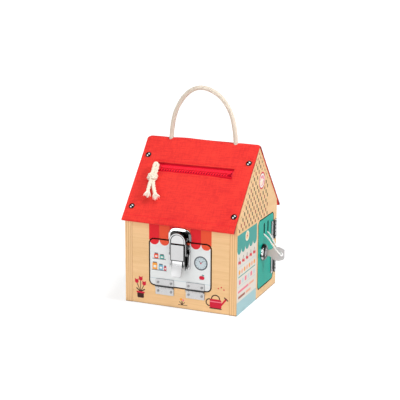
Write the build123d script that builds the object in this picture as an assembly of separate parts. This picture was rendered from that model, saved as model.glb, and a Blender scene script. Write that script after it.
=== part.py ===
# Latch house: a wooden toy house whose doors each close with a different kind of latch.
# Millimetres. The origin is the middle of the underside, +Z is up, the front faces -Y.

import math
import os

from build123d import *

# House shell
house_width = 155.0
house_depth = 150.0
wall_height = 118.0
gable_height = 203.5
wall_thickness = 10.0
floor_thickness = 6.0
corner_round = 1.2

# Roof
canvas_thickness = 1.5
canvas_side_overhang = 1.0
eave_overhang = 9.1
hem_thickness = 1.5
hem_wall_clearance = 3.5
ridge_round = 2.5
beam_width = 16.0
beam_height = 15.0

# Rope handle
rope_diameter = 5.5
rope_span = 91.0
rope_rise = 71.5
rope_lean = -3.0
rope_bore_clearance = 0.3
rope_knot_radius = 6.2
rope_knot_height = 11.0

# Tacks along the gable edges of the roof
tack_head_radius = 3.9
tack_head_height = 2.2
tack_shank_radius = 0.8
tack_length = 12.0
tack_inset = 7.5
tack_upper_drop = 26.3
tack_eave_margin = 24.4

# Zip in the front slope
zip_slot_length = 111.0
zip_slot_width = 12.0
zip_middle = -2.0
zip_drop = 43.5
tape_thickness = 0.6
tape_width = 8.0
tape_end_overlap = 5.0
teeth_width = 7.0
teeth_height = 2.2
teeth_gap = 0.6
tooth_pitch = 3.6
tooth_length = 2.1
teeth_core_height = 1.3
stop_length = 2.0
slider_length = 10.0
slider_wall = 1.0
slider_corner = 2.2
slider_plate = 1.0
slider_clearance = 0.3
slider_end_clearance = 0.4
slider_bridge = 1.2
slider_bridge_wall = 1.2
slider_post_width = 0.4
slider_post_length = 3.0
seam = 0.2
pull_diameter = 4.6
pull_spread = 6.2
pull_eye_play = 0.5
pull_eye_up = 0.5
pull_rest_gap = 0.3
pull_knot_drop = 61.0
pull_knot_length = 9.0
pull_knot_side = 1.2
pull_knot_skin = 1.4
pull_knot_play = 0.4
pull_knot_round = 1.0
pull_tail = 24.0

# Doors, cut out of the walls
door_gap = 1.5
door_corner = 5.5
front_door_width = 83.4
front_door_height = 60.0
front_door_bottom = 28.0
side_door_width = 59.0
side_door_height = 91.5
side_door_bottom = 12.0
side_door_middle = 31.5
rear_door_width = 62.0
rear_door_height = 78.0
rear_door_bottom = 14.0
slot_width = 3.4
slot_height = 16.5
slot_spacing = 14.8
slot_top_margin = 6.5

# Butt hinges
hinge_length = 25.4
leaf_width = 10.4
leaf_thickness = 0.9
leaf_corner = 1.0
leaf_gap = 0.2
barrel_radius = 1.6
barrel_clearance = 0.3
knuckle_count = 5
knuckle_gap = 0.15
hinge_pin_radius = 0.75
hinge_setback = 2.0
front_hinge_spacing = 42.4
side_hinge_low = 20.5
side_hinge_high = 24.0
rear_hinge_inset = 20.0
running_clearance = 0.05

# Screws
screw_head_radius = 1.7
screw_head_height = 0.9
screw_shank_radius = 0.9
screw_length = 8.0
screw_hole_clearance = 0.15
leaf_screw_spacing = 18.3
leaf_screw_reach = 5.7

# Draw latch
sheet = 1.0
keeper_width = 31.5
keeper_height = 16.0
keeper_corner = 9.5
keeper_thickness = 1.6
keeper_edge = 0.4
keeper_rim = 3.0
keeper_screw_side = 5.4
keeper_screw_rise = 3.4
lug_width = 8.0
lug_reach = 6.2
lug_height = 3.9
lug_drop = 9.1
lug_chamfer = 1.0
hook_clearance = 0.3
latch_base_width = 29.0
latch_base_height = 31.5
latch_base_drop = 2.5
base_screw_side = 2.6
base_screw_end = 4.0
lever_width = 18.6
lever_depth = 9.0
lever_lift = 2.6
lever_panel_height = 20.2
lever_top_drop = 1.8
tongue_width = 13.6
tongue_corner = 2.5
lip_radius = 46.0
lip_sweep = 26.0
flange_nose_out = 0.4
flange_nose_rise = 2.0
leg_length = 13.0
leg_heel_in = 1.2
leg_heel_rise = 2.0
leg_toe_out = 5.5
leg_shoulder_drop = 2.0
lever_pivot_out = 5.2
lever_pivot_drop = 5.5
bail_pivot_out = 5.0
bail_pivot_drop = 14.5
latch_pin_radius = 1.0
pin_head_rim = 0.8
pin_head_gap = 0.2
pin_head_thickness = 0.7
bail_thickness = 1.8
bail_side_gap = 0.3
bail_lift = 3.2
bail_arm_depth = 4.4
bail_height = 13.7
bail_panel_recess = 0.7
bail_hook_height = 1.8
bail_hook_inset = 0.4
bail_hook_side = 0.5
ear_radius = 2.6
ear_thickness = 0.9
ear_gap = 0.3

# Cam lock and key
lock_in_from_edge = 18.5
lock_drop = 45.0
lock_face_radius = 11.0
lock_face_rim = 1.6
lock_face_height = 4.8
lock_body_radius = 8.0
lock_body_clearance = 0.25
lock_body_inside = 5.0
lock_nut_size = 20.0
lock_nut_thickness = 3.6
plug_radius = 5.0
keyway_height = 7.6
key_thickness = 2.0
key_clearance = 0.15
key_blade_height = 7.0
key_blade_reach = 18.0
key_bow_start = 10.8
key_bow_length = 19.0
key_bow_height = 18.4
key_bow_end_height = 13.0
key_bow_corner = 3.0
key_neck_height = 9.0
key_hole_radius = 2.9
key_hole_from_end = 4.4
key_cut_pitch = 2.0
key_cuts = (1.8, 0.6, 2.4, 1.0, 2.0, 0.8)
key_tip_length = 2.0
key_tip_low = 1.4
key_tip_high = 3.0
cam_length = 27.0
cam_width = 13.0
cam_thickness = 2.0
cam_screw_radius = 1.5
cam_screw_head_radius = 3.4
cam_screw_length = 3.2
string_diameter = 2.1
string_turn = 2.7

# Barrel bolt on the rear door
bolt_radius = 2.5
bolt_length = 39.0
bolt_axis_out = 4.2
bolt_height = 52.0
bolt_edge_margin = 0.6
bolt_throw = 12.0
bolt_plate_length = 38.0
bolt_plate_height = 20.0
bolt_plate_margin = 2.0
bolt_screw_front = 8.5
bolt_screw_rear = 9.0
bolt_screw_edge = 2.6
guide_length = 4.0
guide_height = 10.0
guide_wall = 2.0
guide_round = 3.0
guide_front_inset = 1.0
guide_rear_inset = 1.5
guide_clearance = 0.1
knob_radius = 2.0
knob_length = 9.0
knob_from_tip = 22.5
bolt_keeper_gap = 3.0
bolt_keeper_length = 5.0

# Hook and eye on the left door
wire_radius = 1.2
hook_ring_radius = 2.9
hook_reach = 24.0
hook_tip = 7.0
hook_bend = 3.0
hook_out = 5.0
hook_inset = 12.0
hook_height = 78.0
hook_pin_radius = 1.55
hook_pin_head = 3.4
eye_radius = 3.6
eye_wire_radius = 1.0
eye_drop = 3.0
wood_bite = 9.0

# Places that follow from the sizes above
half_width = house_width / 2
half_depth = house_depth / 2
inner_half_width = half_width - wall_thickness
roof_slope = (gable_height - wall_height) / half_depth
roof_angle = math.atan(roof_slope)
eave_drop = (half_depth + eave_overhang) / math.cos(roof_angle)
hem_width = eave_overhang / math.cos(roof_angle) - hem_wall_clearance
barrel_lift = barrel_radius + barrel_clearance
front_door_top = front_door_bottom + front_door_height
side_door_top = side_door_bottom + side_door_height

front_face = Plane(origin=(0, -half_depth, 0), x_dir=(1, 0, 0), z_dir=(0, -1, 0))
rear_face = Plane(origin=(0, half_depth, 0), x_dir=(-1, 0, 0), z_dir=(0, 1, 0))
right_face = Plane(origin=(half_width, 0, 0), x_dir=(0, 1, 0), z_dir=(1, 0, 0))
left_face = Plane(origin=(-half_width, 0, 0), x_dir=(0, -1, 0), z_dir=(-1, 0, 0))
end_view = Plane(origin=(0, 0, 0), x_dir=(0, 1, 0), z_dir=(1, 0, 0))
latch_view = Plane(origin=(0, -half_depth, 0), x_dir=(0, -1, 0), z_dir=(-1, 0, 0))
front_slope = Plane(
    origin=(0, 0, gable_height),
    x_dir=(1, 0, 0),
    z_dir=(0, -math.sin(roof_angle), math.cos(roof_angle)),
)
rear_slope = Plane(
    origin=(0, 0, gable_height),
    x_dir=(-1, 0, 0),
    z_dir=(0, math.sin(roof_angle), math.cos(roof_angle)),
)

side_door_near_edge = side_door_middle - side_door_width / 2
side_door_far_edge = side_door_middle + side_door_width / 2
lock_y = side_door_near_edge + lock_in_from_edge
lock_height = side_door_top - lock_drop
lock_face = Plane(origin=(half_width, lock_y, lock_height), x_dir=(0, 1, 0), z_dir=(1, 0, 0))
cam_from_face = wall_thickness + lock_body_inside + 0.2

# Side view of the latch, as distance out from the wall and height
lever_top = front_door_top - lever_top_drop
lever_pivot = (lever_pivot_out, front_door_top - lever_pivot_drop)
bail_pivot = (bail_pivot_out, front_door_top - bail_pivot_drop)
keeper_bottom = front_door_top + door_gap + 0.5
keeper_top = keeper_bottom + keeper_height
lug_top = keeper_top - lug_drop
bail_bottom = front_door_top + 0.2
latch_base_top = front_door_top - latch_base_drop
bail_half_width = lever_width / 2 + bail_side_gap + bail_thickness
latch_through = (-latch_base_width, latch_base_width)

# Spots of the hinges: face, position on the face, direction to the door on the face
front_axis_height = front_door_bottom - hinge_setback
side_axis_y = side_door_far_edge + hinge_setback
rear_axis_x = -rear_door_width / 2 - hinge_setback
front_hinges = [
    (front_face, side * front_hinge_spacing / 2, front_axis_height, (0, 1)) for side in (-1, 1)
]
side_hinge_heights = (side_door_bottom + side_hinge_low, side_door_top - side_hinge_high)
side_hinges = [(right_face, side_axis_y, height, (-1, 0)) for height in side_hinge_heights]
left_hinges = [(left_face, -side_axis_y, height, (1, 0)) for height in side_hinge_heights]
rear_hinge_heights = (
    rear_door_bottom + rear_hinge_inset,
    rear_door_bottom + rear_door_height - rear_hinge_inset,
)
rear_hinges = [(rear_face, -rear_axis_x, height, (-1, 0)) for height in rear_hinge_heights]

slider_width = teeth_width + 2 * (slider_wall + slider_clearance)
slider_top = -tape_thickness / 2 + teeth_height / 2 + slider_clearance
zip_rest_x = -zip_slot_length / 2 + slider_length / 2 + slider_end_clearance
zip_travel = zip_slot_length - slider_length - 2 * slider_end_clearance
teeth_half_length = zip_slot_length / 2 - stop_length - slider_end_clearance
pull_eye = pull_diameter + pull_eye_play
pull_lift = slider_top + slider_plate + pull_eye / 2
knot_half_height = pull_diameter / 2 + pull_knot_play + pull_knot_skin
knot_lift = canvas_thickness + pull_rest_gap + knot_half_height

bolt_tip_x = rear_door_width / 2 - bolt_edge_margin
bolt_axis_y = half_depth + bolt_axis_out
hook_y = side_door_near_edge + hook_inset


def box(x0, x1, y0, y1, z0, z1):
    return Pos((x0 + x1) / 2, (y0 + y1) / 2, (z0 + z1) / 2) * Box(x1 - x0, y1 - y0, z1 - z0)


def rod(plane, x, y, radius, z0, z1):
    disc = plane * Pos(x, y, z0) * Circle(radius)
    return extrude(disc, amount=z1 - z0)


def side_plate(points, x0, x1):
    outline = make_face(Polyline(*points, close=True))
    return Pos(x0, 0, 0) * extrude(end_view * outline, amount=x1 - x0)


def slope_point(drop, out):
    # A point of the roof's end view, on the front slope
    y = -drop * math.cos(roof_angle) - out * math.sin(roof_angle)
    z = gable_height - drop * math.sin(roof_angle) + out * math.cos(roof_angle)
    return y, z


def door_blank(face, middle, bottom, width, height, grow=0.0):
    shape = RectangleRounded(width + 2 * grow, height + 2 * grow, door_corner + grow)
    return extrude(face * Pos(middle, bottom + height / 2) * shape, amount=-wall_thickness)


def route_radii(points):
    radii = []
    for before, here, after in zip(points, points[1:], points[2:]):
        a = Vector(here) - Vector(before)
        b = Vector(after) - Vector(here)
        turn = math.radians(a.get_angle(b))
        radii.append(0.45 * min(a.length, b.length) / math.tan(turn / 2))
    return radii


def cord(name, points, diameter):
    radii = route_radii(points)
    path = FilletPolyline(*points, radius=radii)
    start = Plane(origin=path @ 0, z_dir=path % 0)
    tube = sweep(start * Circle(diameter / 2), path=path)
    share = tube.volume / (math.pi * diameter**2 / 4 * path.length)
    print(f"{name}: {path.length:.1f} mm long, volume {share:.4f} of section times length")
    print("  radii", ", ".join(f"{radius:.1f}" for radius in radii))
    return tube


def screw(plane, x, y, lift):
    head = Pos(0, 0, screw_head_height / 2) * Cylinder(screw_head_radius, screw_head_height)
    head = fillet(head.edges().group_by(Axis.Z)[-1], 0.6 * screw_head_height)
    shank = Pos(0, 0, -screw_length / 2) * Cylinder(screw_shank_radius, screw_length)
    return plane * Pos(x, y, lift) * (head + shank)


def screw_hole(plane, x, y, depth=3.0):
    return rod(plane, x, y, screw_shank_radius + screw_hole_clearance, -depth, depth)


# Walls, floor and beam

def gable_wall(side):
    outline = [
        (-half_depth, 0),
        (half_depth, 0),
        (half_depth, wall_height),
        (0, gable_height),
        (-half_depth, wall_height),
    ]
    x0 = inner_half_width if side > 0 else -half_width
    wall = side_plate(outline, x0, x0 + wall_thickness)
    corners = [
        edge
        for edge in wall.edges().filter_by(Axis.Z)
        if abs(edge.center().X) > half_width - 0.1
    ]
    wall = fillet(corners, corner_round)
    face = right_face if side > 0 else left_face
    hole = door_blank(
        face, side * side_door_middle, side_door_bottom, side_door_width, side_door_height, door_gap
    )
    return wall - hole


def cross_wall(side):
    outer = side * half_depth
    inner = side * (half_depth - wall_thickness)
    outline = [
        (outer, 0),
        (inner, 0),
        (inner, wall_height + wall_thickness * roof_slope),
        (outer, wall_height),
    ]
    wall = side_plate(outline, -inner_half_width, inner_half_width)
    if side < 0:
        return wall - door_blank(
            front_face, 0, front_door_bottom, front_door_width, front_door_height, door_gap
        )
    return wall - door_blank(
        rear_face, 0, rear_door_bottom, rear_door_width, rear_door_height, door_gap
    )


def floor_panel():
    reach = half_depth - wall_thickness
    return box(-inner_half_width, inner_half_width, -reach, reach, 0, floor_thickness)


def ridge_beam():
    half = beam_width / 2
    outline = [
        (0, gable_height),
        (half, gable_height - half * roof_slope),
        (half, gable_height - beam_height),
        (-half, gable_height - beam_height),
        (-half, gable_height - half * roof_slope),
    ]
    beam = side_plate(outline, -inner_half_width, inner_half_width)
    for side in (-1, 1):
        beam -= rope_bore(side)
    return beam


def rope_bore(side):
    radius = rope_diameter / 2 + rope_bore_clearance
    bottom = gable_height - beam_height
    return rod(Plane.XY, side * rope_span / 2, 0, radius, bottom, gable_height + beam_height)


# Roof canvas with its hems, zip slot and rope holes

def roof_canvas():
    hem_start = eave_drop - hem_width
    front = [
        slope_point(hem_start, 0),
        slope_point(hem_start, -hem_thickness),
        slope_point(eave_drop, -hem_thickness),
        slope_point(eave_drop, canvas_thickness),
    ]
    top = (0, gable_height + canvas_thickness / math.cos(roof_angle))
    back = [(-y, z) for y, z in reversed(front)]
    outline = front + [top] + back + [(0, gable_height)]
    reach = half_width + canvas_side_overhang
    canvas = side_plate(outline, -reach, reach)
    ridge = canvas.edges().filter_by(Axis.X).sort_by(Axis.Z)[-1]
    canvas = fillet(ridge, ridge_round)
    slot = on_zip(Box(zip_slot_length, zip_slot_width, 6 * canvas_thickness))
    canvas -= slot
    for side in (-1, 1):
        canvas -= rope_bore(side)
    return canvas


def tacks():
    made = []
    ball = (tack_head_radius**2 + tack_head_height**2) / (2 * tack_head_height)
    head = Pos(0, 0, tack_head_height - ball) * Sphere(ball)
    head &= Pos(0, 0, tack_head_height / 2) * Box(4 * ball, 4 * ball, tack_head_height)
    shank = Pos(0, 0, -tack_length / 2) * Cylinder(tack_shank_radius, tack_length)
    tack = head + shank
    for slope in (front_slope, rear_slope):
        for side in (-1, 1):
            for drop in (tack_upper_drop, eave_drop - tack_eave_margin):
                made.append(
                    slope * Pos(side * (half_width - tack_inset), -drop, canvas_thickness) * tack
                )
    return made


def rope_points():
    half = rope_span / 2
    base = gable_height + 2.5
    start = gable_height - beam_height
    knee = base + 0.309 * rope_rise
    shoulder = base + 0.809 * rope_rise
    return [
        (-half, 0, start),
        (-half, 0, knee),
        (-0.618 * half, 0, shoulder),
        (rope_lean, 0, base + rope_rise),
        (0.618 * half, 0, shoulder),
        (half, 0, knee),
        (half, 0, start),
    ]


def rope_knots():
    made = []
    for side in (-1, 1):
        knot = Pos(0, 0, -rope_knot_height / 2) * Cylinder(rope_knot_radius, rope_knot_height)
        knot = fillet(knot.edges().filter_by(GeomType.CIRCLE), 0.4 * rope_knot_height)
        made.append(Pos(side * rope_span / 2, 0, gable_height - beam_height) * knot)
    return made


# Zip: all of it is laid out on the front slope, with x along the zip and z off the canvas

def on_zip(shape, x=0.0):
    return front_slope * Pos(zip_middle + x, -zip_drop, 0) * shape


def zip_tapes():
    reach = zip_slot_length / 2 + tape_end_overlap
    return [
        on_zip(
            box(
                -reach, reach,
                min(side * teeth_width / 2, side * (teeth_width / 2 + tape_width)),
                max(side * teeth_width / 2, side * (teeth_width / 2 + tape_width)),
                -tape_thickness, 0,
            )
        )
        for side in (-1, 1)
    ]


def zip_teeth():
    rows = []
    middle = -tape_thickness / 2
    for side in (-1, 1):
        near, far = teeth_gap / 2, teeth_width / 2
        y0, y1 = min(side * near, side * far), max(side * near, side * far)
        core = box(
            -teeth_half_length, teeth_half_length, y0, y1,
            middle - teeth_core_height / 2, middle + teeth_core_height / 2,
        )
        count = int((2 * teeth_half_length - tooth_pitch) / tooth_pitch)
        first = -(count - 1) * tooth_pitch / 2 + side * tooth_pitch / 4
        teeth = [
            Pos(first + i * tooth_pitch, (y0 + y1) / 2, middle)
            * Box(tooth_length, y1 - y0, teeth_height)
            for i in range(count)
        ]
        rows.append(on_zip(core + teeth))
    return rows


def zip_stops():
    middle = -tape_thickness / 2
    half = teeth_width / 2
    return [
        on_zip(
            Pos(side * (teeth_half_length + stop_length / 2), 0, middle)
            * Box(stop_length, 2 * half, teeth_height)
        )
        for side in (-1, 1)
    ]


def zip_slider():
    top = slider_top
    bottom = -tape_thickness - slider_top
    half_y = slider_width / 2
    flat_x = slider_length / 2 - slider_corner
    sheet_shape = Box(slider_length, slider_width, slider_plate)
    sheet_shape = fillet(sheet_shape.edges().filter_by(Axis.Z), slider_corner)
    slider = Pos(0, 0, top + slider_plate / 2) * sheet_shape
    slider += Pos(0, 0, bottom - slider_plate / 2) * sheet_shape
    half_post = slider_post_width / 2
    slider += box(
        -flat_x, slider_post_length - flat_x, -half_post, half_post, bottom - seam, top + seam
    )
    for side in (-1, 1):
        y0, y1 = sorted((side * (half_y - slider_wall), side * half_y))
        slider += box(-flat_x, flat_x, y0, y1, slider_clearance, top + seam)
        low = -tape_thickness - slider_clearance
        slider += box(-flat_x, flat_x, y0, y1, bottom - seam, low)
    roof = top + slider_plate
    half_eye = pull_eye / 2
    half_bridge = half_eye + slider_bridge_wall
    bridge = box(
        -slider_bridge / 2, slider_bridge / 2,
        pull_eye_up - half_bridge, pull_eye_up + half_bridge,
        roof - seam, roof + pull_eye + slider_bridge_wall,
    )
    hole = box(
        -slider_bridge, slider_bridge,
        pull_eye_up - half_eye, pull_eye_up + half_eye,
        roof, roof + pull_eye,
    )
    return on_zip(slider + (bridge - hole), zip_rest_x)


def pull_points():
    # From the left tail, through the knot, round the slider's bridge and back
    half = pull_spread / 2
    rest = canvas_thickness + pull_diameter / 2 + pull_rest_gap
    knot = zip_drop - pull_knot_drop
    above = knot + pull_knot_length
    below = knot - pull_knot_length / 2 - 2.0
    left = [
        (-half - 0.3, knot - pull_tail, rest),
        (-half + 1.9, knot - 0.56 * pull_tail, rest + 0.6),
        (-half, below, knot_lift),
        (-half, above, knot_lift - 0.3),
        (-half, pull_eye_up, pull_lift),
    ]
    right = [
        (half, pull_eye_up, pull_lift),
        (half, above, knot_lift - 0.3),
        (half, below, knot_lift),
        (half + 2.9, knot - 0.56 * pull_tail, rest + 0.6),
        (half + 8.5, knot - 1.08 * pull_tail, rest),
    ]
    return [on_zip(Vertex(*p), zip_rest_x).center() for p in left + right]


def pull_knot():
    inner_x = pull_spread + pull_diameter + 2 * pull_knot_play
    inner_z = pull_diameter + 2 * pull_knot_play
    outer_x = inner_x + 2 * pull_knot_side
    outer_z = inner_z + 2 * pull_knot_skin
    outer = RectangleRounded(outer_x, outer_z, 0.45 * outer_z)
    inner = RectangleRounded(inner_x, inner_z, 0.45 * inner_z)
    ring = extrude(Plane.XZ * (outer - inner), amount=pull_knot_length / 2, both=True)
    rims = [
        edge
        for edge in ring.edges().group_by(Axis.Y)[0] + ring.edges().group_by(Axis.Y)[-1]
        if abs(edge.center().X) > (inner_x + pull_knot_side) / 2
        or abs(edge.center().Z) > (inner_z + pull_knot_skin) / 2
    ]
    ring = fillet(rims, pull_knot_round)
    return on_zip(Pos(0, zip_drop - pull_knot_drop, knot_lift) * ring, zip_rest_x)


# Butt hinges, in their own frame: x along the pin, y towards the door, z out of the wall

def hinge_plane(spot):
    face, x, y, (toward_x, toward_y) = spot
    toward = face.x_dir * toward_x + face.y_dir * toward_y
    return Plane(
        origin=face.from_local_coords((x, y, 0)), x_dir=toward.cross(face.z_dir), z_dir=face.z_dir
    )


def knuckle(index, radius, length):
    pitch = hinge_length / knuckle_count
    x = -hinge_length / 2 + (index + 0.5) * pitch
    return Pos(x, 0, barrel_lift) * Rot(0, 90, 0) * Cylinder(radius, length)


def hinge_leaf(moving):
    y0, y1 = (leaf_gap, leaf_width) if moving else (-leaf_width, -leaf_gap)
    plate = box(-hinge_length / 2, hinge_length / 2, y0, y1, 0, leaf_thickness)
    outer = plate.edges().filter_by(Axis.Z).group_by(Axis.Y)[-1 if moving else 0]
    leaf = fillet(outer, leaf_corner)
    pitch = hinge_length / knuckle_count
    for index in range(knuckle_count):
        if (index % 2 == 1) == moving:
            leaf += knuckle(index, barrel_radius, pitch - 2 * knuckle_gap)
        else:
            leaf -= knuckle(index, barrel_radius + leaf_gap, pitch)
    leaf -= Pos(0, 0, barrel_lift) * Rot(0, 90, 0) * Cylinder(
        hinge_pin_radius + running_clearance, hinge_length + 2
    )
    for x, y in leaf_screws(moving):
        leaf -= screw_hole(Plane.XY, x, y)
    return leaf


def leaf_screws(moving):
    side = 1 if moving else -1
    return [(x * leaf_screw_spacing / 2, side * leaf_screw_reach) for x in (-1, 1)]


def hinge_leaves(spots, moving):
    leaf = hinge_leaf(moving)
    return [hinge_plane(spot) * leaf for spot in spots]


def hinge_screws(spots, moving):
    return [
        screw(hinge_plane(spot), x, y, leaf_thickness)
        for spot in spots
        for x, y in leaf_screws(moving)
    ]


def hinge_pins(spots):
    pin = Pos(0, 0, barrel_lift) * Rot(0, 90, 0) * Cylinder(hinge_pin_radius, hinge_length)
    return [hinge_plane(spot) * pin for spot in spots]


# Draw latch: side outlines are drawn as distance out from the wall and height

def latch_slab(sketch, x0, x1):
    return Pos(x1, 0, 0) * extrude(latch_view * sketch, amount=x1 - x0)


def pair_of_slabs(sketch, inner, outer):
    return latch_slab(sketch, inner, outer), latch_slab(sketch, -outer, -inner)


def latch_keeper():
    outline = Rectangle(keeper_width, keeper_height)
    outline = fillet(outline.vertices().group_by(Axis.Y)[-1], keeper_corner)
    middle = (keeper_bottom + keeper_top) / 2
    plate = extrude(front_face * Pos(0, middle) * outline, amount=keeper_edge)
    rise = keeper_thickness - keeper_edge
    plate += extrude(
        front_face * Pos(0, middle, keeper_edge) * outline,
        amount=rise,
        taper=math.degrees(math.atan(keeper_rim / rise)),
    )
    lug = latch_slab(
        make_face(
            Polyline(
                (sheet / 2, lug_top - lug_height),
                (lug_reach - lug_chamfer, lug_top - lug_height),
                (lug_reach, lug_top - lug_height + lug_chamfer),
                (lug_reach, lug_top),
                (sheet / 2, lug_top),
                close=True,
            )
        ),
        -lug_width / 2,
        lug_width / 2,
    )
    keeper = plate + lug
    for x, y in keeper_screw_spots():
        keeper -= screw_hole(front_face, x, y)
    return keeper


def keeper_screw_spots():
    x = keeper_width / 2 - keeper_screw_side
    return [(side * x, keeper_bottom + keeper_screw_rise) for side in (-1, 1)]


def latch_base():
    middle = latch_base_top - latch_base_height / 2
    outline = RectangleRounded(latch_base_width, latch_base_height, 2.0)
    base = extrude(front_face * Pos(0, middle) * outline, amount=sheet)
    out, height = lever_pivot
    ear = (
        Pos(out, height) * Circle(ear_radius)
        + Pos(out / 2 + sheet / 4, height) * Rectangle(out - sheet / 2, 2 * ear_radius)
    )
    inner = lever_width / 2 - sheet - ear_gap - ear_thickness
    for slab in pair_of_slabs(ear, inner, inner + ear_thickness):
        base += slab
    base -= latch_slab(
        Pos(out, height) * Circle(latch_pin_radius + running_clearance), *latch_through
    )
    for x, y in base_screw_spots():
        base -= screw_hole(front_face, x, y)
    return base


def base_screw_spots():
    x = latch_base_width / 2 - base_screw_side
    heights = (latch_base_top - base_screw_end, latch_base_top - latch_base_height + base_screw_end)
    return [(side * x, y) for side in (-1, 1) for y in heights]


def lip_arc(radius, low, high):
    # Part of a circle about the lip's centre, from the panel's lower edge downwards
    centre = (lever_depth + lip_radius, lever_top - lever_panel_height)
    spots = []
    for angle in (low, (low + high) / 2, high):
        turn = math.radians(angle)
        spots.append((centre[0] - radius * math.cos(turn), centre[1] - radius * math.sin(turn)))
    return spots


def lever_tongue():
    # The narrower lower end of the lever, curved out for a fingertip
    outer = lip_arc(lip_radius, 0, lip_sweep)
    inner = lip_arc(lip_radius + sheet, 0, lip_sweep)
    joined = outer[0][1] + seam
    outline = make_face(
        Polyline(outer[0], (lever_depth, joined), (lever_depth - sheet, joined), inner[0])
        + ThreePointArc(*inner)
        + Line(inner[2], outer[2])
        + ThreePointArc(*outer)
    )
    tongue = latch_slab(outline, -tongue_width / 2, tongue_width / 2)
    tip = [edge for edge in tongue.edges() if abs(edge.tangent_at(0.5).X) < 0.01]
    tip = [edge for edge in tip if edge.center().Z < outer[1][1] and edge.length < 2 * sheet]
    return fillet(tip, tongue_corner)


def latch_lever():
    half = lever_width / 2
    panel_bottom = lever_top - lever_panel_height
    panel = Pos(lever_depth - sheet / 2, lever_top - lever_panel_height / 2) * Rectangle(
        sheet, lever_panel_height
    )
    lever = latch_slab(panel, -half, half) + lever_tongue()
    out, height = lever_pivot
    leg_bottom = panel_bottom - leg_length
    flange = make_face(
        Polyline(
            (lever_depth - sheet / 2, lever_top),
            (out, lever_top),
            (lever_lift + flange_nose_out, height + flange_nose_rise),
            (lever_lift, height),
            (lever_lift, leg_bottom + leg_heel_rise),
            (lever_lift + leg_heel_in, leg_bottom),
            (leg_toe_out, leg_bottom),
            (lever_depth - sheet / 2, panel_bottom - leg_shoulder_drop),
            close=True,
        )
    )
    for slab in pair_of_slabs(flange, half - sheet, half):
        lever += slab
    for spot in (lever_pivot, bail_pivot):
        lever -= latch_slab(Pos(*spot) * Circle(latch_pin_radius + running_clearance), *latch_through)
    return lever


def latch_lever_pin():
    half = lever_width / 2
    return latch_slab(Pos(*lever_pivot) * Circle(latch_pin_radius), -half, half)


def bail_pins():
    inner = lever_width / 2 - sheet
    neck = bail_half_width + pin_head_gap
    pins = []
    for side in (-1, 1):
        ends = sorted((side * inner, side * neck))
        pin = latch_slab(Pos(*bail_pivot) * Circle(latch_pin_radius), *ends)
        ends = sorted((side * neck, side * (neck + pin_head_thickness)))
        head = Pos(*bail_pivot) * Circle(latch_pin_radius + pin_head_rim)
        pins.append(pin + latch_slab(head, *ends))
    return pins


def arch(half, low, high):
    # Straight sides up to a round top
    centre = high - half
    return make_face(
        Polyline((-half, centre), (-half, low), (half, low), (half, centre))
        + ThreePointArc((half, centre), (0, high), (-half, centre))
    )


def latch_bail():
    half = bail_half_width
    top = bail_bottom + bail_height
    inner = half - bail_thickness
    ring = arch(half, bail_bottom, top) - arch(inner, bail_bottom - 1, top - bail_thickness)
    rim = extrude(
        front_face * Pos(0, 0, bail_lift) * ring, amount=lever_depth - bail_lift
    )
    panel = extrude(
        front_face * Pos(0, 0, lever_depth - bail_panel_recess - sheet)
        * arch(half - bail_thickness / 2, bail_bottom, top - bail_thickness / 2),
        amount=sheet,
    )
    bail = rim + panel
    out, height = bail_pivot
    arm = Pos(out, height) * Circle(bail_arm_depth / 2) + Pos(
        out, (height + bail_bottom + 2) / 2
    ) * Rectangle(bail_arm_depth, bail_bottom + 2 - height)
    for slab in pair_of_slabs(arm, inner, half):
        bail += slab
    low = lug_top + hook_clearance
    near = bail_lift - bail_hook_inset
    far = lever_depth - bail_panel_recess - sheet / 2
    hook = Pos((near + far) / 2, low + bail_hook_height / 2) * Rectangle(far - near, bail_hook_height)
    bail += latch_slab(hook, -lug_width / 2 - bail_hook_side, lug_width / 2 + bail_hook_side)
    bail -= latch_slab(Pos(*bail_pivot) * Circle(latch_pin_radius + running_clearance), *latch_through)
    return bail


# Doors

def front_door():
    return door_blank(front_face, 0, front_door_bottom, front_door_width, front_door_height)


def slot_spots():
    middle = side_door_top - slot_top_margin - slot_height / 2
    return [(side_door_middle + side * slot_spacing / 2, middle) for side in (-1, 1)]


def side_door():
    door = door_blank(
        right_face, side_door_middle, side_door_bottom, side_door_width, side_door_height
    )
    for y, z in slot_spots():
        slot = right_face * Pos(y, z) * SlotOverall(slot_height, slot_width, rotation=90)
        door -= extrude(slot, amount=-wall_thickness)
    bore = lock_body_radius + lock_body_clearance
    return door - rod(lock_face, 0, 0, bore, -wall_thickness - 1, 1)


def left_door():
    return door_blank(
        left_face, -side_door_middle, side_door_bottom, side_door_width, side_door_height
    )


def rear_door():
    return door_blank(rear_face, 0, rear_door_bottom, rear_door_width, rear_door_height)


# Cam lock: its frame has z out of the door

def lock_housing():
    bore = plug_radius + running_clearance
    profile = make_face(
        Polyline(
            (bore, lock_face_height),
            (bore, -wall_thickness - lock_body_inside),
            (lock_body_radius, -wall_thickness - lock_body_inside),
            (lock_body_radius, 0),
            (lock_face_radius, 0),
            (lock_face_radius, lock_face_rim),
        )
        + ThreePointArc(
            (lock_face_radius, lock_face_rim),
            (0.5 * (lock_face_radius + bore) + 1.2, 0.5 * (lock_face_rim + lock_face_height) + 1.0),
            (bore, lock_face_height),
        )
    )
    return lock_face * revolve(Plane.XZ * profile, Axis.Z)


def lock_nut():
    ring = RegularPolygon(lock_nut_size / 2, 6, major_radius=False) - Circle(
        lock_body_radius + running_clearance
    )
    return extrude(lock_face * Pos(0, 0, -wall_thickness) * ring, amount=-lock_nut_thickness)


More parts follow.
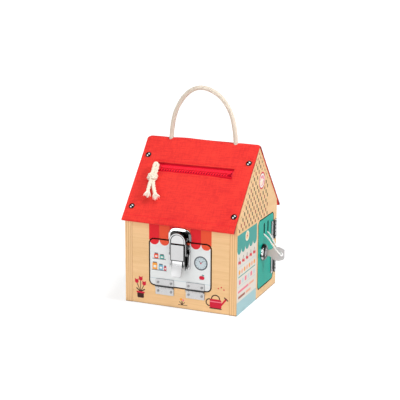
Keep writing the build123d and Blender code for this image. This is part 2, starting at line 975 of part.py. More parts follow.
def lock_plug():
    back = -wall_thickness - lock_body_inside
    front = lock_face_height - 0.5
    plug = rod(lock_face, 0, 0, plug_radius, back, front)
    keyway = box(
        -key_thickness / 2 - key_clearance, key_thickness / 2 + key_clearance,
        -keyway_height / 2, keyway_height / 2,
        front - key_blade_reach - 0.5, front + 1,
    )
    plug -= lock_face * keyway
    stud = rod(lock_face, 0, 0, 2.8, -cam_from_face - cam_thickness, back)
    return plug + stud - rod(
        lock_face, 0, 0, cam_screw_radius + running_clearance,
        -cam_from_face - cam_thickness - 1,
        -cam_from_face - cam_thickness + cam_screw_length + 0.2,
    )


def lock_cam():
    outline = Pos(0, -(cam_length - cam_width) / 2) * SlotOverall(
        cam_length, cam_width, rotation=90
    ) - Circle(2.8 + running_clearance)
    return extrude(lock_face * Pos(0, 0, -cam_from_face) * outline, amount=-cam_thickness)


def cam_screw():
    seat = -cam_from_face - cam_thickness
    return rod(lock_face, 0, 0, cam_screw_head_radius, seat - 2.0, seat) + rod(
        lock_face, 0, 0, cam_screw_radius, seat, seat + cam_screw_length
    )


def key():
    # Drawn in its own plane: x out of the door, y up
    front = lock_face_height - 0.5
    back = front - key_blade_reach + 0.4
    shoulder = lock_face_height + 0.6
    half = key_blade_height / 2
    cuts = [
        (front - key_cut_pitch * (i + 2), depth - half) for i, depth in enumerate(key_cuts)
    ]
    blade = Polyline(
        (back, half), (shoulder + 1, half), (shoulder + 1, -half), (front - key_cut_pitch, -half),
        *cuts,
        (back + key_tip_length, key_tip_low - half), (back, key_tip_high - half),
        close=True,
    )
    end = key_bow_start + key_bow_length
    upper = [
        (shoulder, key_neck_height / 2),
        (key_bow_start, key_neck_height / 2),
        (key_bow_start + 0.3 * key_bow_length, key_bow_height / 2),
        (key_bow_start + 0.62 * key_bow_length, key_bow_height / 2),
        (end, key_bow_end_height / 2),
    ]
    lower = [(x, -y) for x, y in reversed(upper)]
    bow = make_face(Polyline(*upper, *lower, close=True))
    corners = [corner for corner in bow.vertices() if corner.X > key_bow_start - seam]
    bow = fillet(corners, key_bow_corner)
    bow -= Pos(end - key_hole_from_end, 0) * Circle(key_hole_radius)
    outline = make_face(blade) + bow
    flat = Plane(origin=lock_face.origin, x_dir=(1, 0, 0), z_dir=(0, -1, 0))
    return extrude(flat * outline, amount=key_thickness / 2, both=True)


def string_points():
    # Out of one slot, through the hole in the key's bow, back into the other slot
    (near_y, slot_z), (far_y, _) = slot_spots()
    low = slot_z - slot_height / 2 + string_diameter / 2 + 0.6
    hole_x = half_width + key_bow_start + key_bow_length - key_hole_from_end
    back = half_width - wall_thickness - 2.2
    run = Vector(hole_x - half_width - 1.5, 0, lock_height - low - 1.0).normalized()
    turn = Vector(hole_x, lock_y, lock_height - 0.4)
    before = turn - run * (key_hole_from_end + 7.0)
    return [
        (back, side_door_middle - 2.0, low + 1.5),
        (back, near_y, low + 0.6),
        (half_width + 1.5, near_y, low + 1.0),
        (before.X, lock_y - string_turn - 0.2, before.Z),
        (turn.X, lock_y - string_turn, turn.Z),
        (turn.X, lock_y + string_turn, turn.Z),
        (before.X, lock_y + string_turn + 0.2, before.Z),
        (half_width + 1.5, far_y, low + 1.0),
        (back, far_y, low + 0.6),
        (back, side_door_middle + 2.0, low + 1.5),
    ]


# Barrel bolt

def along_x(x0, x1, y, z, radius):
    return Pos((x0 + x1) / 2, y, z) * Rot(0, 90, 0) * Cylinder(radius, x1 - x0)


def guide(x0, x1, bore):
    top = bolt_axis_y + bolt_radius + guide_wall
    block = box(
        x0, x1, half_depth + sheet / 2, top,
        bolt_height - guide_height / 2, bolt_height + guide_height / 2,
    )
    block = fillet(block.edges().filter_by(Axis.X).group_by(Axis.Y)[-1], guide_round)
    return block - along_x(x0 - 1, x1 + 1, bolt_axis_y, bolt_height, bore)


def bolt_plate():
    x1 = rear_door_width / 2 - bolt_plate_margin
    x0 = x1 - bolt_plate_length
    half = bolt_plate_height / 2
    plate = box(x0, x1, half_depth, half_depth + sheet, bolt_height - half, bolt_height + half)
    plate = fillet(plate.edges().filter_by(Axis.Y), 2.0)
    bore = bolt_radius + guide_clearance
    rear = x0 + guide_rear_inset
    front = x1 - guide_front_inset
    plate += guide(rear, rear + guide_length, bore)
    plate += guide(front - guide_length, front, bore)
    for x, y in bolt_screw_spots():
        plate -= screw_hole(rear_face, x, y)
    return plate


def bolt_screw_spots():
    x1 = rear_door_width / 2 - bolt_plate_margin
    xs = (x1 - bolt_plate_length + bolt_screw_rear, x1 - bolt_screw_front)
    lift = bolt_plate_height / 2 - bolt_screw_edge
    return [(-x, bolt_height + side * lift) for x in xs for side in (-1, 1)]


def bolt_rod():
    pin = along_x(bolt_tip_x - bolt_length, bolt_tip_x, bolt_axis_y, bolt_height, bolt_radius)
    tip = pin.edges().filter_by(GeomType.CIRCLE).sort_by(Axis.X)[-1]
    pin = chamfer(tip, 0.7)
    x = bolt_tip_x - knob_from_tip
    stem = Pos(x, bolt_axis_y + knob_length / 2, bolt_height) * Rot(90, 0, 0) * Cylinder(
        knob_radius, knob_length
    )
    ball = Pos(x, bolt_axis_y + knob_length + 1.0, bolt_height) * Sphere(1.5 * knob_radius)
    return pin + stem + ball


def bolt_keeper():
    x0 = rear_door_width / 2 + door_gap + bolt_keeper_gap
    x1 = x0 + bolt_keeper_length
    half = bolt_plate_height / 2
    plate = box(
        x0 - 1.5, x1 + 1.5, half_depth, half_depth + sheet, bolt_height - half, bolt_height + half
    )
    plate = fillet(plate.edges().filter_by(Axis.Y), 1.5)
    keeper = plate + guide(x0, x1, bolt_radius + 0.4)
    for x, y in bolt_keeper_screw_spots():
        keeper -= screw_hole(rear_face, x, y)
    return keeper


def bolt_keeper_screw_spots():
    x = rear_door_width / 2 + door_gap + bolt_keeper_gap + bolt_keeper_length / 2
    lift = bolt_plate_height / 2 - bolt_screw_edge
    return [(-x, bolt_height + side * lift) for side in (-1, 1)]


# Hook and eye, with the hook hanging down from its screw

def hook_plane(out):
    spot = left_face.from_local_coords((-hook_y, hook_height, out))
    return Plane(origin=spot, x_dir=left_face.x_dir, z_dir=left_face.z_dir)


def hook():
    # Drawn flat: x towards the front of the house, y up
    ring = Torus(hook_ring_radius, wire_radius)
    path = FilletPolyline(
        (0, -hook_ring_radius, 0), (0, -hook_reach, 0), (-hook_tip, -hook_reach, 0), radius=hook_bend
    )
    start = Plane(origin=path @ 0, z_dir=path % 0)
    wire = sweep(start * Circle(wire_radius), path=path)
    return hook_plane(hook_out) * (ring + wire)


def hook_screw():
    face = hook_plane(0)
    stem = rod(face, 0, 0, hook_pin_radius, -wood_bite, hook_out + wire_radius + 0.3)
    collar = rod(face, 0, 0, hook_pin_head, 0, hook_out - wire_radius - 0.3)
    cap = rod(
        face, 0, 0, hook_pin_head, hook_out + wire_radius + 0.3, hook_out + wire_radius + 1.6
    )
    return stem + collar + cap


def hook_eye():
    centre = left_face.from_local_coords(
        (-hook_y + hook_reach, hook_height - eye_drop, hook_out)
    )
    ring = Pos(*centre) * Torus(eye_radius, eye_wire_radius)
    shank = Pos(
        (-half_width + wood_bite + centre.X + eye_radius) / 2, centre.Y, centre.Z
    ) * Rot(0, 90, 0) * Cylinder(eye_wire_radius, wood_bite - half_width - centre.X - eye_radius)
    return ring + shank


def write(name, *shapes):
    solids = []
    for shape in shapes:
        for piece in shape if isinstance(shape, (list, tuple)) else [shape]:
            solids.extend(piece.solids())
    export_step(Compound(solids) if len(solids) > 1 else solids[0], f"parts/{name}.step")


def main():
    os.makedirs("parts", exist_ok=True)

    write("left_wall", gable_wall(-1))
    write("right_wall", gable_wall(1))
    write("front_wall", cross_wall(-1))
    write("rear_wall", cross_wall(1))
    write("floor_panel", floor_panel())
    write("ridge_beam", ridge_beam())
    write("roof_canvas", roof_canvas())
    write("roof_tacks", tacks())
    write("rope_handle", cord("rope", rope_points(), rope_diameter))
    write("rope_knots", rope_knots())

    write("zip_tapes", zip_tapes())
    write("zip_teeth", zip_teeth())
    write("zip_stops", zip_stops())
    write("zip_slider", zip_slider())
    write("zip_pull_cord", cord("zip pull", pull_points(), pull_diameter))
    write("zip_pull_knot", pull_knot())

    hinges = {
        "front": front_hinges, "side": side_hinges, "left": left_hinges, "rear": rear_hinges
    }
    for name, spots in hinges.items():
        write(f"{name}_hinge_wall_leaves", hinge_leaves(spots, False))
        write(f"{name}_hinge_door_leaves", hinge_leaves(spots, True))
        write(f"{name}_hinge_door_screws", hinge_screws(spots, True))
        write(f"{name}_hinge_pins", hinge_pins(spots))
    every_hinge = [spot for spots in hinges.values() for spot in spots]
    write("hinge_wall_screws", hinge_screws(every_hinge, False))

    write("front_door", front_door())
    write("side_door", side_door())
    write("left_door", left_door())
    write("rear_door", rear_door())

    write("latch_keeper", latch_keeper())
    write("latch_keeper_screws", [screw(front_face, *s, keeper_thickness) for s in keeper_screw_spots()])
    write("latch_base", latch_base())
    write("latch_base_screws", [screw(front_face, *s, sheet) for s in base_screw_spots()])
    write("latch_lever", latch_lever())
    write("latch_lever_pin", latch_lever_pin())
    write("latch_bail_pins", bail_pins())
    write("latch_bail", latch_bail())

    write("lock_housing", lock_housing())
    write("lock_nut", lock_nut())
    write("lock_plug", lock_plug())
    write("lock_cam", lock_cam())
    write("cam_screw", cam_screw())
    write("key", key())
    write("key_string", cord("key string", string_points(), string_diameter))

    write("bolt_plate", bolt_plate())
    write("bolt_plate_screws", [screw(rear_face, *s, sheet) for s in bolt_screw_spots()])
    write("bolt_rod", bolt_rod())
    write("bolt_keeper", bolt_keeper())
    write("bolt_keeper_screws", [screw(rear_face, *s, sheet) for s in bolt_keeper_screw_spots()])

    write("hook", hook())
    write("hook_screw", hook_screw())
    write("hook_eye", hook_eye())


if __name__ == "__main__":
    main()
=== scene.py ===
import math
import random

import bpy
from mathutils import Matrix, Vector


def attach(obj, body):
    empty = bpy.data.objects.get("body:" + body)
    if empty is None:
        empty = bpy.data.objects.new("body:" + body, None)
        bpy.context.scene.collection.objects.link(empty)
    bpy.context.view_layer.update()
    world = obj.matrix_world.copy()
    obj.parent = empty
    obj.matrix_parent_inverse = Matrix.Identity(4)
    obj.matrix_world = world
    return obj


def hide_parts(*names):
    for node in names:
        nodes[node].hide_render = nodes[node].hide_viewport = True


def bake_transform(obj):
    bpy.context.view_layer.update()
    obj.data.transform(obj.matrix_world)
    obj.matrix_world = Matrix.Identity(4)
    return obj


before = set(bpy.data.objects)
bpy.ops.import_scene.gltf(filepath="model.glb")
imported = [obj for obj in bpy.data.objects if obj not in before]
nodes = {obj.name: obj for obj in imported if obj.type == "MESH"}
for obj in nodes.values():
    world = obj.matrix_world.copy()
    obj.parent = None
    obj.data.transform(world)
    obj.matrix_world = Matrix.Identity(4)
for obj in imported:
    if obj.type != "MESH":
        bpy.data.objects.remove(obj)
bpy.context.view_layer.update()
mm = 0.001


def deselectAll():
    if bpy.context.object and bpy.context.object.mode != "OBJECT":
        bpy.ops.object.mode_set(mode="OBJECT")
    bpy.ops.object.select_all(action="DESELECT")


def pick(*pieces):
    deselectAll()
    for piece in pieces:
        piece.select_set(True)
    bpy.context.view_layer.objects.active = pieces[0]


def applyAll(piece):
    pick(piece)
    for modifier in list(piece.modifiers):
        bpy.ops.object.modifier_apply(modifier=modifier.name)


def smooth(piece, angle):
    pick(piece)
    bpy.ops.object.shade_smooth_by_angle(angle=math.radians(angle))


def turnOutwards(piece):
    pick(piece)
    bpy.ops.object.mode_set(mode="EDIT")
    bpy.ops.mesh.select_all(action="SELECT")
    bpy.ops.mesh.normals_make_consistent(inside=False)
    bpy.ops.object.mode_set(mode="OBJECT")


def thicken(sheet, thick):
    turnOutwards(sheet)
    wall = sheet.modifiers.new("thickness", "SOLIDIFY")
    wall.thickness = thick
    wall.offset = 0.0
    applyAll(sheet)


def joined(pieces, name):
    pick(*pieces)
    bpy.ops.object.join()
    whole = bpy.context.object
    whole.name = whole.data.name = name
    return whole


def dress(piece, look):
    piece.data.materials.clear()
    piece.data.materials.append(finishes[look])


def carry(piece, look, body, slot, *stoodFor):
    if look:
        dress(piece, look)
    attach(piece, body)
    if stoodFor:
        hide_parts(*stoodFor)


# Camera, as the photograph was taken
shot = {
    "azimuth": 22.6, "elevation": 13.7, "roll": 0.31,
    "place": (0.5317, -1.2874, 0.4656), "lens": 98.19, "sensor": 36.0,
}


def setCamera():
    turn, lift, roll = (math.radians(shot[key]) for key in ("azimuth", "elevation", "roll"))
    back = Vector((math.sin(turn) * math.cos(lift), -math.cos(turn) * math.cos(lift), math.sin(lift)))
    level = Vector((math.cos(turn), math.sin(turn), 0))
    right = math.cos(roll) * level + math.sin(roll) * back.cross(level)
    axes = Matrix((right, back.cross(right), back)).transposed()
    deselectAll()
    bpy.ops.object.camera_add(location=shot["place"], rotation=axes.to_euler())
    camera = bpy.context.object
    camera.name = "shotCamera"
    camera.data.lens = shot["lens"]
    camera.data.sensor_width = shot["sensor"]
    bpy.context.scene.camera = camera


setCamera()
bpy.context.scene.view_settings.view_transform = "Standard"
print("camera set")


# Shader maths: a Wire is one socket, and sums on it add Math nodes
def sumOf(operation, swapped=False):
    def made(self, other=0.0):
        first, second = (other, self) if swapped else (self, other)
        return self.owner.maths(operation, first, second)
    return made


class Wire:
    __add__, __radd__ = sumOf("ADD"), sumOf("ADD", True)
    __sub__, __rsub__ = sumOf("SUBTRACT"), sumOf("SUBTRACT", True)
    __mul__, __rmul__ = sumOf("MULTIPLY"), sumOf("MULTIPLY", True)
    __truediv__, __mod__ = sumOf("DIVIDE"), sumOf("FLOORED_MODULO")
    __gt__, __lt__ = sumOf("GREATER_THAN"), sumOf("LESS_THAN")
    __abs__, floored, sine = sumOf("ABSOLUTE"), sumOf("FLOOR"), sumOf("SINE")

    def __init__(self, owner, socket):
        self.owner = owner
        self.socket = socket

    def clamped(self):
        return self.owner.maths("ADD", self, 0.0, True)


# One tree of shader nodes, of a material or the world
class NodeTree:
    def __init__(self, tree):
        self.tree = tree

    def node(self, kind, settings=None, sockets=None, out=0):
        made = self.tree.nodes.new(kind)
        for name, value in (settings or {}).items():
            setattr(made, name, value)
        for name, value in (sockets or {}).items():
            self.plug(made.inputs[name], value)
        return Wire(self, made.outputs[out])

    def plug(self, socket, value):
        if isinstance(value, Wire):
            self.tree.links.new(value.socket, socket)
        else:
            socket.default_value = value

    def maths(self, operation, first, second=0.0, clamp=False):
        settings = {"operation": operation, "use_clamp": clamp}
        return self.node("ShaderNodeMath", settings, {0: first, 1: second})

    def vector(self, operation, *values, out=0):
        return self.node("ShaderNodeVectorMath", {"operation": operation}, dict(enumerate(values)), out)

    def scaled(self, vector, share):
        return self.node("ShaderNodeVectorMath", {"operation": "SCALE"}, {0: vector, "Scale": share})

    def seenBy(self, *rays):
        # 1 for light paths of these kinds
        return sum(self.node("ShaderNodeLightPath", out=ray) for ray in rays).clamped()


# One finish is one material; its spot is the place on the object in millimetres
class Finish(NodeTree):
    def __init__(self, name, **constants):
        self.material = bpy.data.materials.new(name)
        self.material.use_nodes = True
        super().__init__(self.material.node_tree)
        self.shader = self.tree.nodes["Principled BSDF"]
        self.spot = self.scaled(self.place("Object"), 1 / mm)
        self.set(constants)

    def set(self, sockets):
        for name, value in sockets.items():
            self.plug(self.shader.inputs[name], value)

    def place(self, kind):
        return self.node("ShaderNodeTexCoord", out=kind)

    def axes(self, vector=None):
        split = self.node("ShaderNodeSeparateXYZ", None, {0: vector or self.spot}).socket.node
        return [Wire(self, split.outputs[i]) for i in range(3)]

    def facing(self):
        return self.axes(self.place("Normal"))

    def stretched(self, x, y, z):
        return self.vector("MULTIPLY", self.spot, (x, y, z))

    def noise(self, vector, scale, detail=3.0, rough=0.55):
        sockets = {"Vector": vector, "Scale": scale, "Detail": detail, "Roughness": rough}
        return self.node("ShaderNodeTexNoise", None, sockets)

    def mix(self, amount, first, second):
        return self.node("ShaderNodeMix", {"data_type": "RGBA"}, {0: amount, 6: first, 7: second}, 2)

    def grey(self, amount):
        return self.node("ShaderNodeCombineColor", None, {0: amount, 1: amount, 2: amount})

    def shade(self, colour, amount):
        # Multiplies a colour by a value
        settings = {"data_type": "RGBA", "blend_type": "MULTIPLY"}
        return self.node("ShaderNodeMix", settings, {0: 1.0, 6: colour, 7: self.grey(amount)}, 2)

    def bump(self, height, strength, distance):
        sockets = {"Strength": strength, "Distance": distance, "Height": height}
        self.set({"Normal": self.node("ShaderNodeBump", None, sockets)})


def rgb(red, green, blue):
    def linear(value):
        value /= 255
        return value / 12.92 if value <= 0.04045 else ((value + 0.055) / 1.055) ** 2.4
    return linear(red), linear(green), linear(blue), 1.0


# Colours of the wood, the inks and the paint
inks = {
    "birch": rgb(244, 204, 154), "birchDark": rgb(220, 174, 120), "glueLine": rgb(190, 138, 90),
    "burn": rgb(84, 50, 34), "tealDeep": rgb(2, 56, 48), "teal": rgb(2, 153, 136),
    "red": rgb(222, 34, 44), "orange": rgb(231, 83, 52), "amber": rgb(240, 160, 62),
    "crimson": rgb(205, 32, 58), "umber": rgb(62, 34, 30), "slate": rgb(84, 90, 98),
    "paper": rgb(226, 229, 229), "chalk": rgb(240, 238, 232), "mist": rgb(196, 209, 214),
    "panelInk": rgb(226, 218, 208), "awning": rgb(68, 158, 149), "band": rgb(166, 201, 206),
    "cream": rgb(246, 232, 204), "peach": rgb(240, 170, 140), "rose": rgb(236, 120, 140),
    "moss": rgb(98, 86, 54), "clay": rgb(160, 84, 64), "sky": rgb(120, 176, 204),
}


dashPrint = {
    "pitch": 11.4, "rise": 6.2, "width": 3.8, "height": 5.0, "lean": 0.18,
    "patchScale": 0.11, "patchFrom": 0.54, "gableSlope": 1.14, "gableTop": 196.0,
}


# Prints are laid on a colour as soft edged shapes, in millimetres across and up
class Print:
    edge = 0.12

    def __init__(self, finish, colour, across, up):
        self.finish = finish
        self.vector = finish.vector
        self.colour = colour
        self.across = across
        self.up = up
        self.flat = finish.node("ShaderNodeCombineXYZ", None, {0: across, 1: up})

    def inside(self, distance, size):
        settings = {"operation": "MULTIPLY_ADD", "use_clamp": True}
        sockets = {0: distance, 1: -1 / self.edge, 2: size / self.edge + 0.5}
        return self.finish.node("ShaderNodeMath", settings, sockets)

    def within(self, value, low, high):
        return self.inside(abs(value - (low + high) / 2), (high - low) / 2)

    def away(self, x, y):
        return self.vector("DISTANCE", self.flat, (x, y, 0), out=1)

    def lay(self, ink, mask):
        self.colour = self.finish.mix(mask, self.colour, inks[ink] if isinstance(ink, str) else ink)

    def disc(self, ink, x, y, radius):
        self.lay(ink, self.inside(self.away(x, y), radius))

    def ring(self, ink, x, y, radius, width):
        self.lay(ink, self.inside(abs(self.away(x, y) - radius), width / 2))

    def bar(self, ink, x, y, width, height, corner):
        away = self.vector("ABSOLUTE", self.vector("SUBTRACT", self.flat, (x, y, 0)))
        inner = (width / 2 - corner, height / 2 - corner, 0)
        past = self.vector("MAXIMUM", self.vector("SUBTRACT", away, inner), (0, 0, 0))
        self.lay(ink, self.inside(self.vector("LENGTH", past, out=1), corner))

    def line(self, ink, x0, y0, x1, y1, width):
        run = Vector((x1 - x0, y1 - y0, 0))
        start = self.vector("SUBTRACT", self.flat, (x0, y0, 0))
        share = self.vector("DOT_PRODUCT", start, tuple(run / run.length_squared), out=1).clamped()
        along = self.finish.scaled(tuple(run), share)
        self.lay(ink, self.inside(self.vector("DISTANCE", start, along, out=1), width / 2))

    def motif(self, name, x=0.0, y=0.0):
        # The strokes of a small print, moved to its place
        for shape, ink, *sizes in motifs[name]:
            points = 4 if shape == "line" else 2
            placed = [size + (y if i % 2 else x) for i, size in enumerate(sizes[:points])]
            getattr(self, shape)(ink, *placed, *sizes[points:])

    def row(self, names, x, y, pitch, count):
        for i in range(count):
            self.motif(names[i % len(names)], x + pitch * i, y)

    def byTurns(self, inkPair, x0, pitch):
        step = ((self.across - x0) % (2 * pitch)) > pitch
        return self.finish.mix(step, inks[inkPair[0]], inks[inkPair[1]])

    def stripes(self, inkPair, x0, x1, y0, y1, count):
        # Upright stripes in two inks by turns
        band = self.within(self.across, x0, x1) * self.within(self.up, y0, y1)
        self.lay(self.byTurns(inkPair, x0, (x1 - x0) / count), band)

    def scallops(self, inkPair, x0, x1, y, count, radius):
        # A row of hanging half rounds below a line
        pitch = (x1 - x0) / count
        local = ((self.across - x0) % pitch) - pitch / 2
        spot = self.finish.node("ShaderNodeCombineXYZ", None, {0: local, 1: self.up})
        mask = self.inside(self.vector("DISTANCE", spot, (0, y, 0), out=1), radius)
        self.lay(self.byTurns(inkPair, x0, pitch), mask * self.within(self.across, x0, x1))

    def dashes(self, low, end=100.0, clear=(0.0, 0.0, -1.0)):
        # Upright dashes in a gable, above a level, up to an end and off a round that is kept clear;
        # each row is moved on by half a step, and patches are in a second ink
        pitch, rise = dashPrint["pitch"], dashPrint["rise"]
        row = (self.up / rise).floored()
        local = ((self.across + (row % 2) * (pitch / 2)) % pitch) - pitch / 2
        level = (self.up % rise) - rise / 2
        mask = self.inside(abs(local + level * dashPrint["lean"]), dashPrint["width"] / 2)
        mask = mask * self.inside(abs(level), dashPrint["height"] / 2)
        x, y, radius = clear
        mask = mask * (self.up > low) * (self.across < end) * (self.away(x, y) > radius)
        mask = mask * ((self.up + abs(self.across) * dashPrint["gableSlope"]) < dashPrint["gableTop"])
        patch = self.finish.noise(self.flat, dashPrint["patchScale"], 1.0) > dashPrint["patchFrom"]
        self.lay(self.finish.mix(patch, inks["moss"], inks["clay"]), mask)

    def plant(self, x, y, *stems):
        # A pot with stems, each of a lean and a height
        for lean, high in stems:
            self.line("umber", x, y + 8, x + lean, y + high, 1.0)
            self.motif("flower", x + lean, y + high)
        self.motif("pot", x, y)

    def jar(self, ink, x, y, width, height):
        self.bar(ink, x, y, width, height, 1.2)
        self.bar("chalk", x, y - height * 0.05, width * 0.55, height * 0.36, 0.5)
        self.bar("slate", x, y + height / 2 + 0.5, width * 0.8, 1.4, 0.4)


print("shader tools ready")


# Wood: faces with a fine grain, edges that show the plies
plywood = {
    "ply": 1.43, "glue": 0.09, "grainStretch": 0.04, "grainScale": 0.9, "fibreScale": 2.2,
    "roughness": 0.44, "wornHeight": 1.6, "worn": 0.8, "faceFrom": 0.7,
}
paintCoat = {"grainStretch": 0.06, "grainScale": 1.1, "cloudScale": 0.05}


def alongGrain(finish, grainAxis, share):
    stretch = [1.0, 1.0, 1.0]
    stretch[grainAxis] = share
    return finish.stretched(*stretch)


def woodColour(finish, thickAxis, grainAxis):
    along = alongGrain(finish, grainAxis, plywood["grainStretch"])
    streak = finish.noise(along, plywood["grainScale"], 5.0, 0.6)
    broad = finish.noise(along, plywood["grainScale"] / 7, 2.0)
    amount = (streak * 0.9 + broad * 0.9 - 0.55).clamped()
    face = finish.mix(amount, inks["birch"], inks["birchDark"])
    through = finish.axes()[thickAxis]
    layer = (through / plywood["ply"]).floored() % 2
    fibre = finish.noise(finish.spot, plywood["fibreScale"], 4.0)
    edge = finish.mix(layer * 0.75 + fibre * 0.25, inks["birch"], inks["birchDark"])
    half = plywood["ply"] / 2
    seam = abs((through % plywood["ply"]) - half) > (half - plywood["glue"])
    edge = finish.mix(seam * 0.6, edge, inks["glueLine"])
    onFace = abs(finish.facing()[thickAxis]) > plywood["faceFrom"]
    colour = finish.mix(onFace, edge, face)
    # Painted shade: the wood is darkened towards its bottom edge, in the burn ink
    worn = (1 - finish.axes()[2] / plywood["wornHeight"]).clamped()
    colour = finish.mix(worn * plywood["worn"], colour, inks["burn"])
    finish.bump(streak + layer * (1 - onFace) * 0.5, 0.18, 0.00025)
    finish.set({"Roughness": streak * 0.12 + plywood["roughness"]})
    return colour, onFace


def bareWood(name):
    # A board that lies flat, its grain from side to side
    finish = Finish(name)
    finish.set({"Base Color": woodColour(finish, 2, 0)[0]})
    return finish.material


def paintOver(finish, ink, grainAxis):
    # Paint on a board: a little mottled, with the grain just showing
    along = alongGrain(finish, grainAxis, paintCoat["grainStretch"])
    grain = finish.noise(along, paintCoat["grainScale"], 4.0)
    cloud = finish.noise(finish.spot, paintCoat["cloudScale"], 2.0)
    return finish.shade(inks[ink], 0.93 + grain * 0.06 + cloud * 0.08), grain


# Small prints as strokes from the print's own foot or middle, with their sizes in this order:
# disc x, y, radius; ring x, y, radius, width; bar x, y, width, height, corner; line x, y, x, y, width
hours = [(math.sin(turn * math.pi / 6), math.cos(turn * math.pi / 6)) for turn in range(12)]
motifs = {
    "flower": [
        ("disc", "crimson", 0, 1.4, 2.7),
        ("line", "crimson", -1.9, 2, -2.1, 4.4, 1.2), ("line", "crimson", 1.9, 2, 2.1, 4.4, 1.2),
    ],
    "pot": [
        ("line", "umber", -1, 9, -5.4, 12.6, 1.6), ("line", "umber", 1, 9, 5.6, 11.8, 1.6),
        ("bar", "umber", 0, 3.6, 9.4, 7.2, 1.6), ("bar", "crimson", 0, 7.6, 11.6, 2.4, 0.6),
    ],
    "can": [
        ("ring", "umber", 0, 12.6, 5.6, 1.5), ("ring", "umber", -8.4, 8, 4.4, 1.5),
        ("line", "crimson", 6, 4, 14.4, 14.6, 2.4), ("line", "umber", 12, 16.2, 16.4, 12.9, 1.5),
        ("bar", "crimson", 0, 6.6, 16, 12.6, 2.6), ("bar", "umber", 0, 0.6, 16.6, 1.5, 0.5),
        ("bar", "rose", 0, 9.4, 16, 1.3, 0.3), ("disc", "crimson", 11.2, 26.6, 0.95),
        ("disc", "crimson", 7.6, 29.4, 0.95), ("disc", "crimson", 3.6, 27.6, 0.95),
    ],
    "tuft": [
        ("line", "umber", 0, 0, -3.6, 4, 0.8), ("line", "umber", 0, 0, -1.4, 6.2, 0.8),
        ("line", "umber", 0, 0, 1.2, 5.6, 0.8), ("line", "umber", 0, 0, 3.4, 3.6, 0.8),
        ("disc", "amber", -1.4, 7.4, 1.7), ("disc", "rose", 1.6, 6.6, 1.4),
        ("line", "umber", -5, 0, 7, 0, 0.7),
    ],
    "clock": [
        ("disc", "mist", 0, 0, 8.4), ("ring", "slate", 0, 0, 8.4, 1.7),
        *[("line", "slate", 5.8 * x, 5.8 * y, 6.8 * x, 6.8 * y, 0.5) for x, y in hours],
        ("line", "slate", 0, 0, -2.2, 2.6, 0.9), ("line", "slate", 0, 0, 3.4, 3.2, 0.7),
        ("disc", "crimson", 0, 0, 1),
    ],
    "apple": [
        ("line", "umber", 0, 1.5, 0.75, 4.25, 0.8), ("disc", "awning", 2.25, 3.25, 1.05),
        ("disc", "crimson", -1.125, 0, 2.5), ("disc", "crimson", 1.125, 0, 2.5),
    ],
    "window": [
        ("disc", "chalk", 0, 0, 10.4), ("disc", "rose", 0, 0, 7), ("disc", "cream", -1.2, -1.2, 4.8),
        ("bar", "chalk", 0, 0, 1.1, 17.8, 0.2), ("bar", "chalk", 0, 0, 17.8, 1.1, 0.2),
        ("ring", "crimson", 0, 0, 10.4, 2),
    ],
    "cherries": [
        ("line", "umber", -2, 1.6, 0.6, 6.6, 0.6), ("line", "umber", 2.4, 1.2, 0.6, 6.6, 0.6),
        ("disc", "crimson", -2, 0.4, 2.3), ("disc", "red", 2.6, -0.6, 2.3),
    ],
    "amberFruit": [("disc", "amber", 0, 0, 3)],
    "peachFruit": [("disc", "peach", 0, 0, 3)],
    "roseBox": [("bar", "rose", 0, 0, 6.4, 6, 1.6)],
    "mistBox": [("bar", "mist", 0, 0, 6.4, 6, 1.6)],
    "sign": [("disc", "cream", 0, 0, 6.6), ("ring", "amber", 0, 0, 3.4, 1.1), ("disc", "crimson", 0, 0, 1.6)],
}


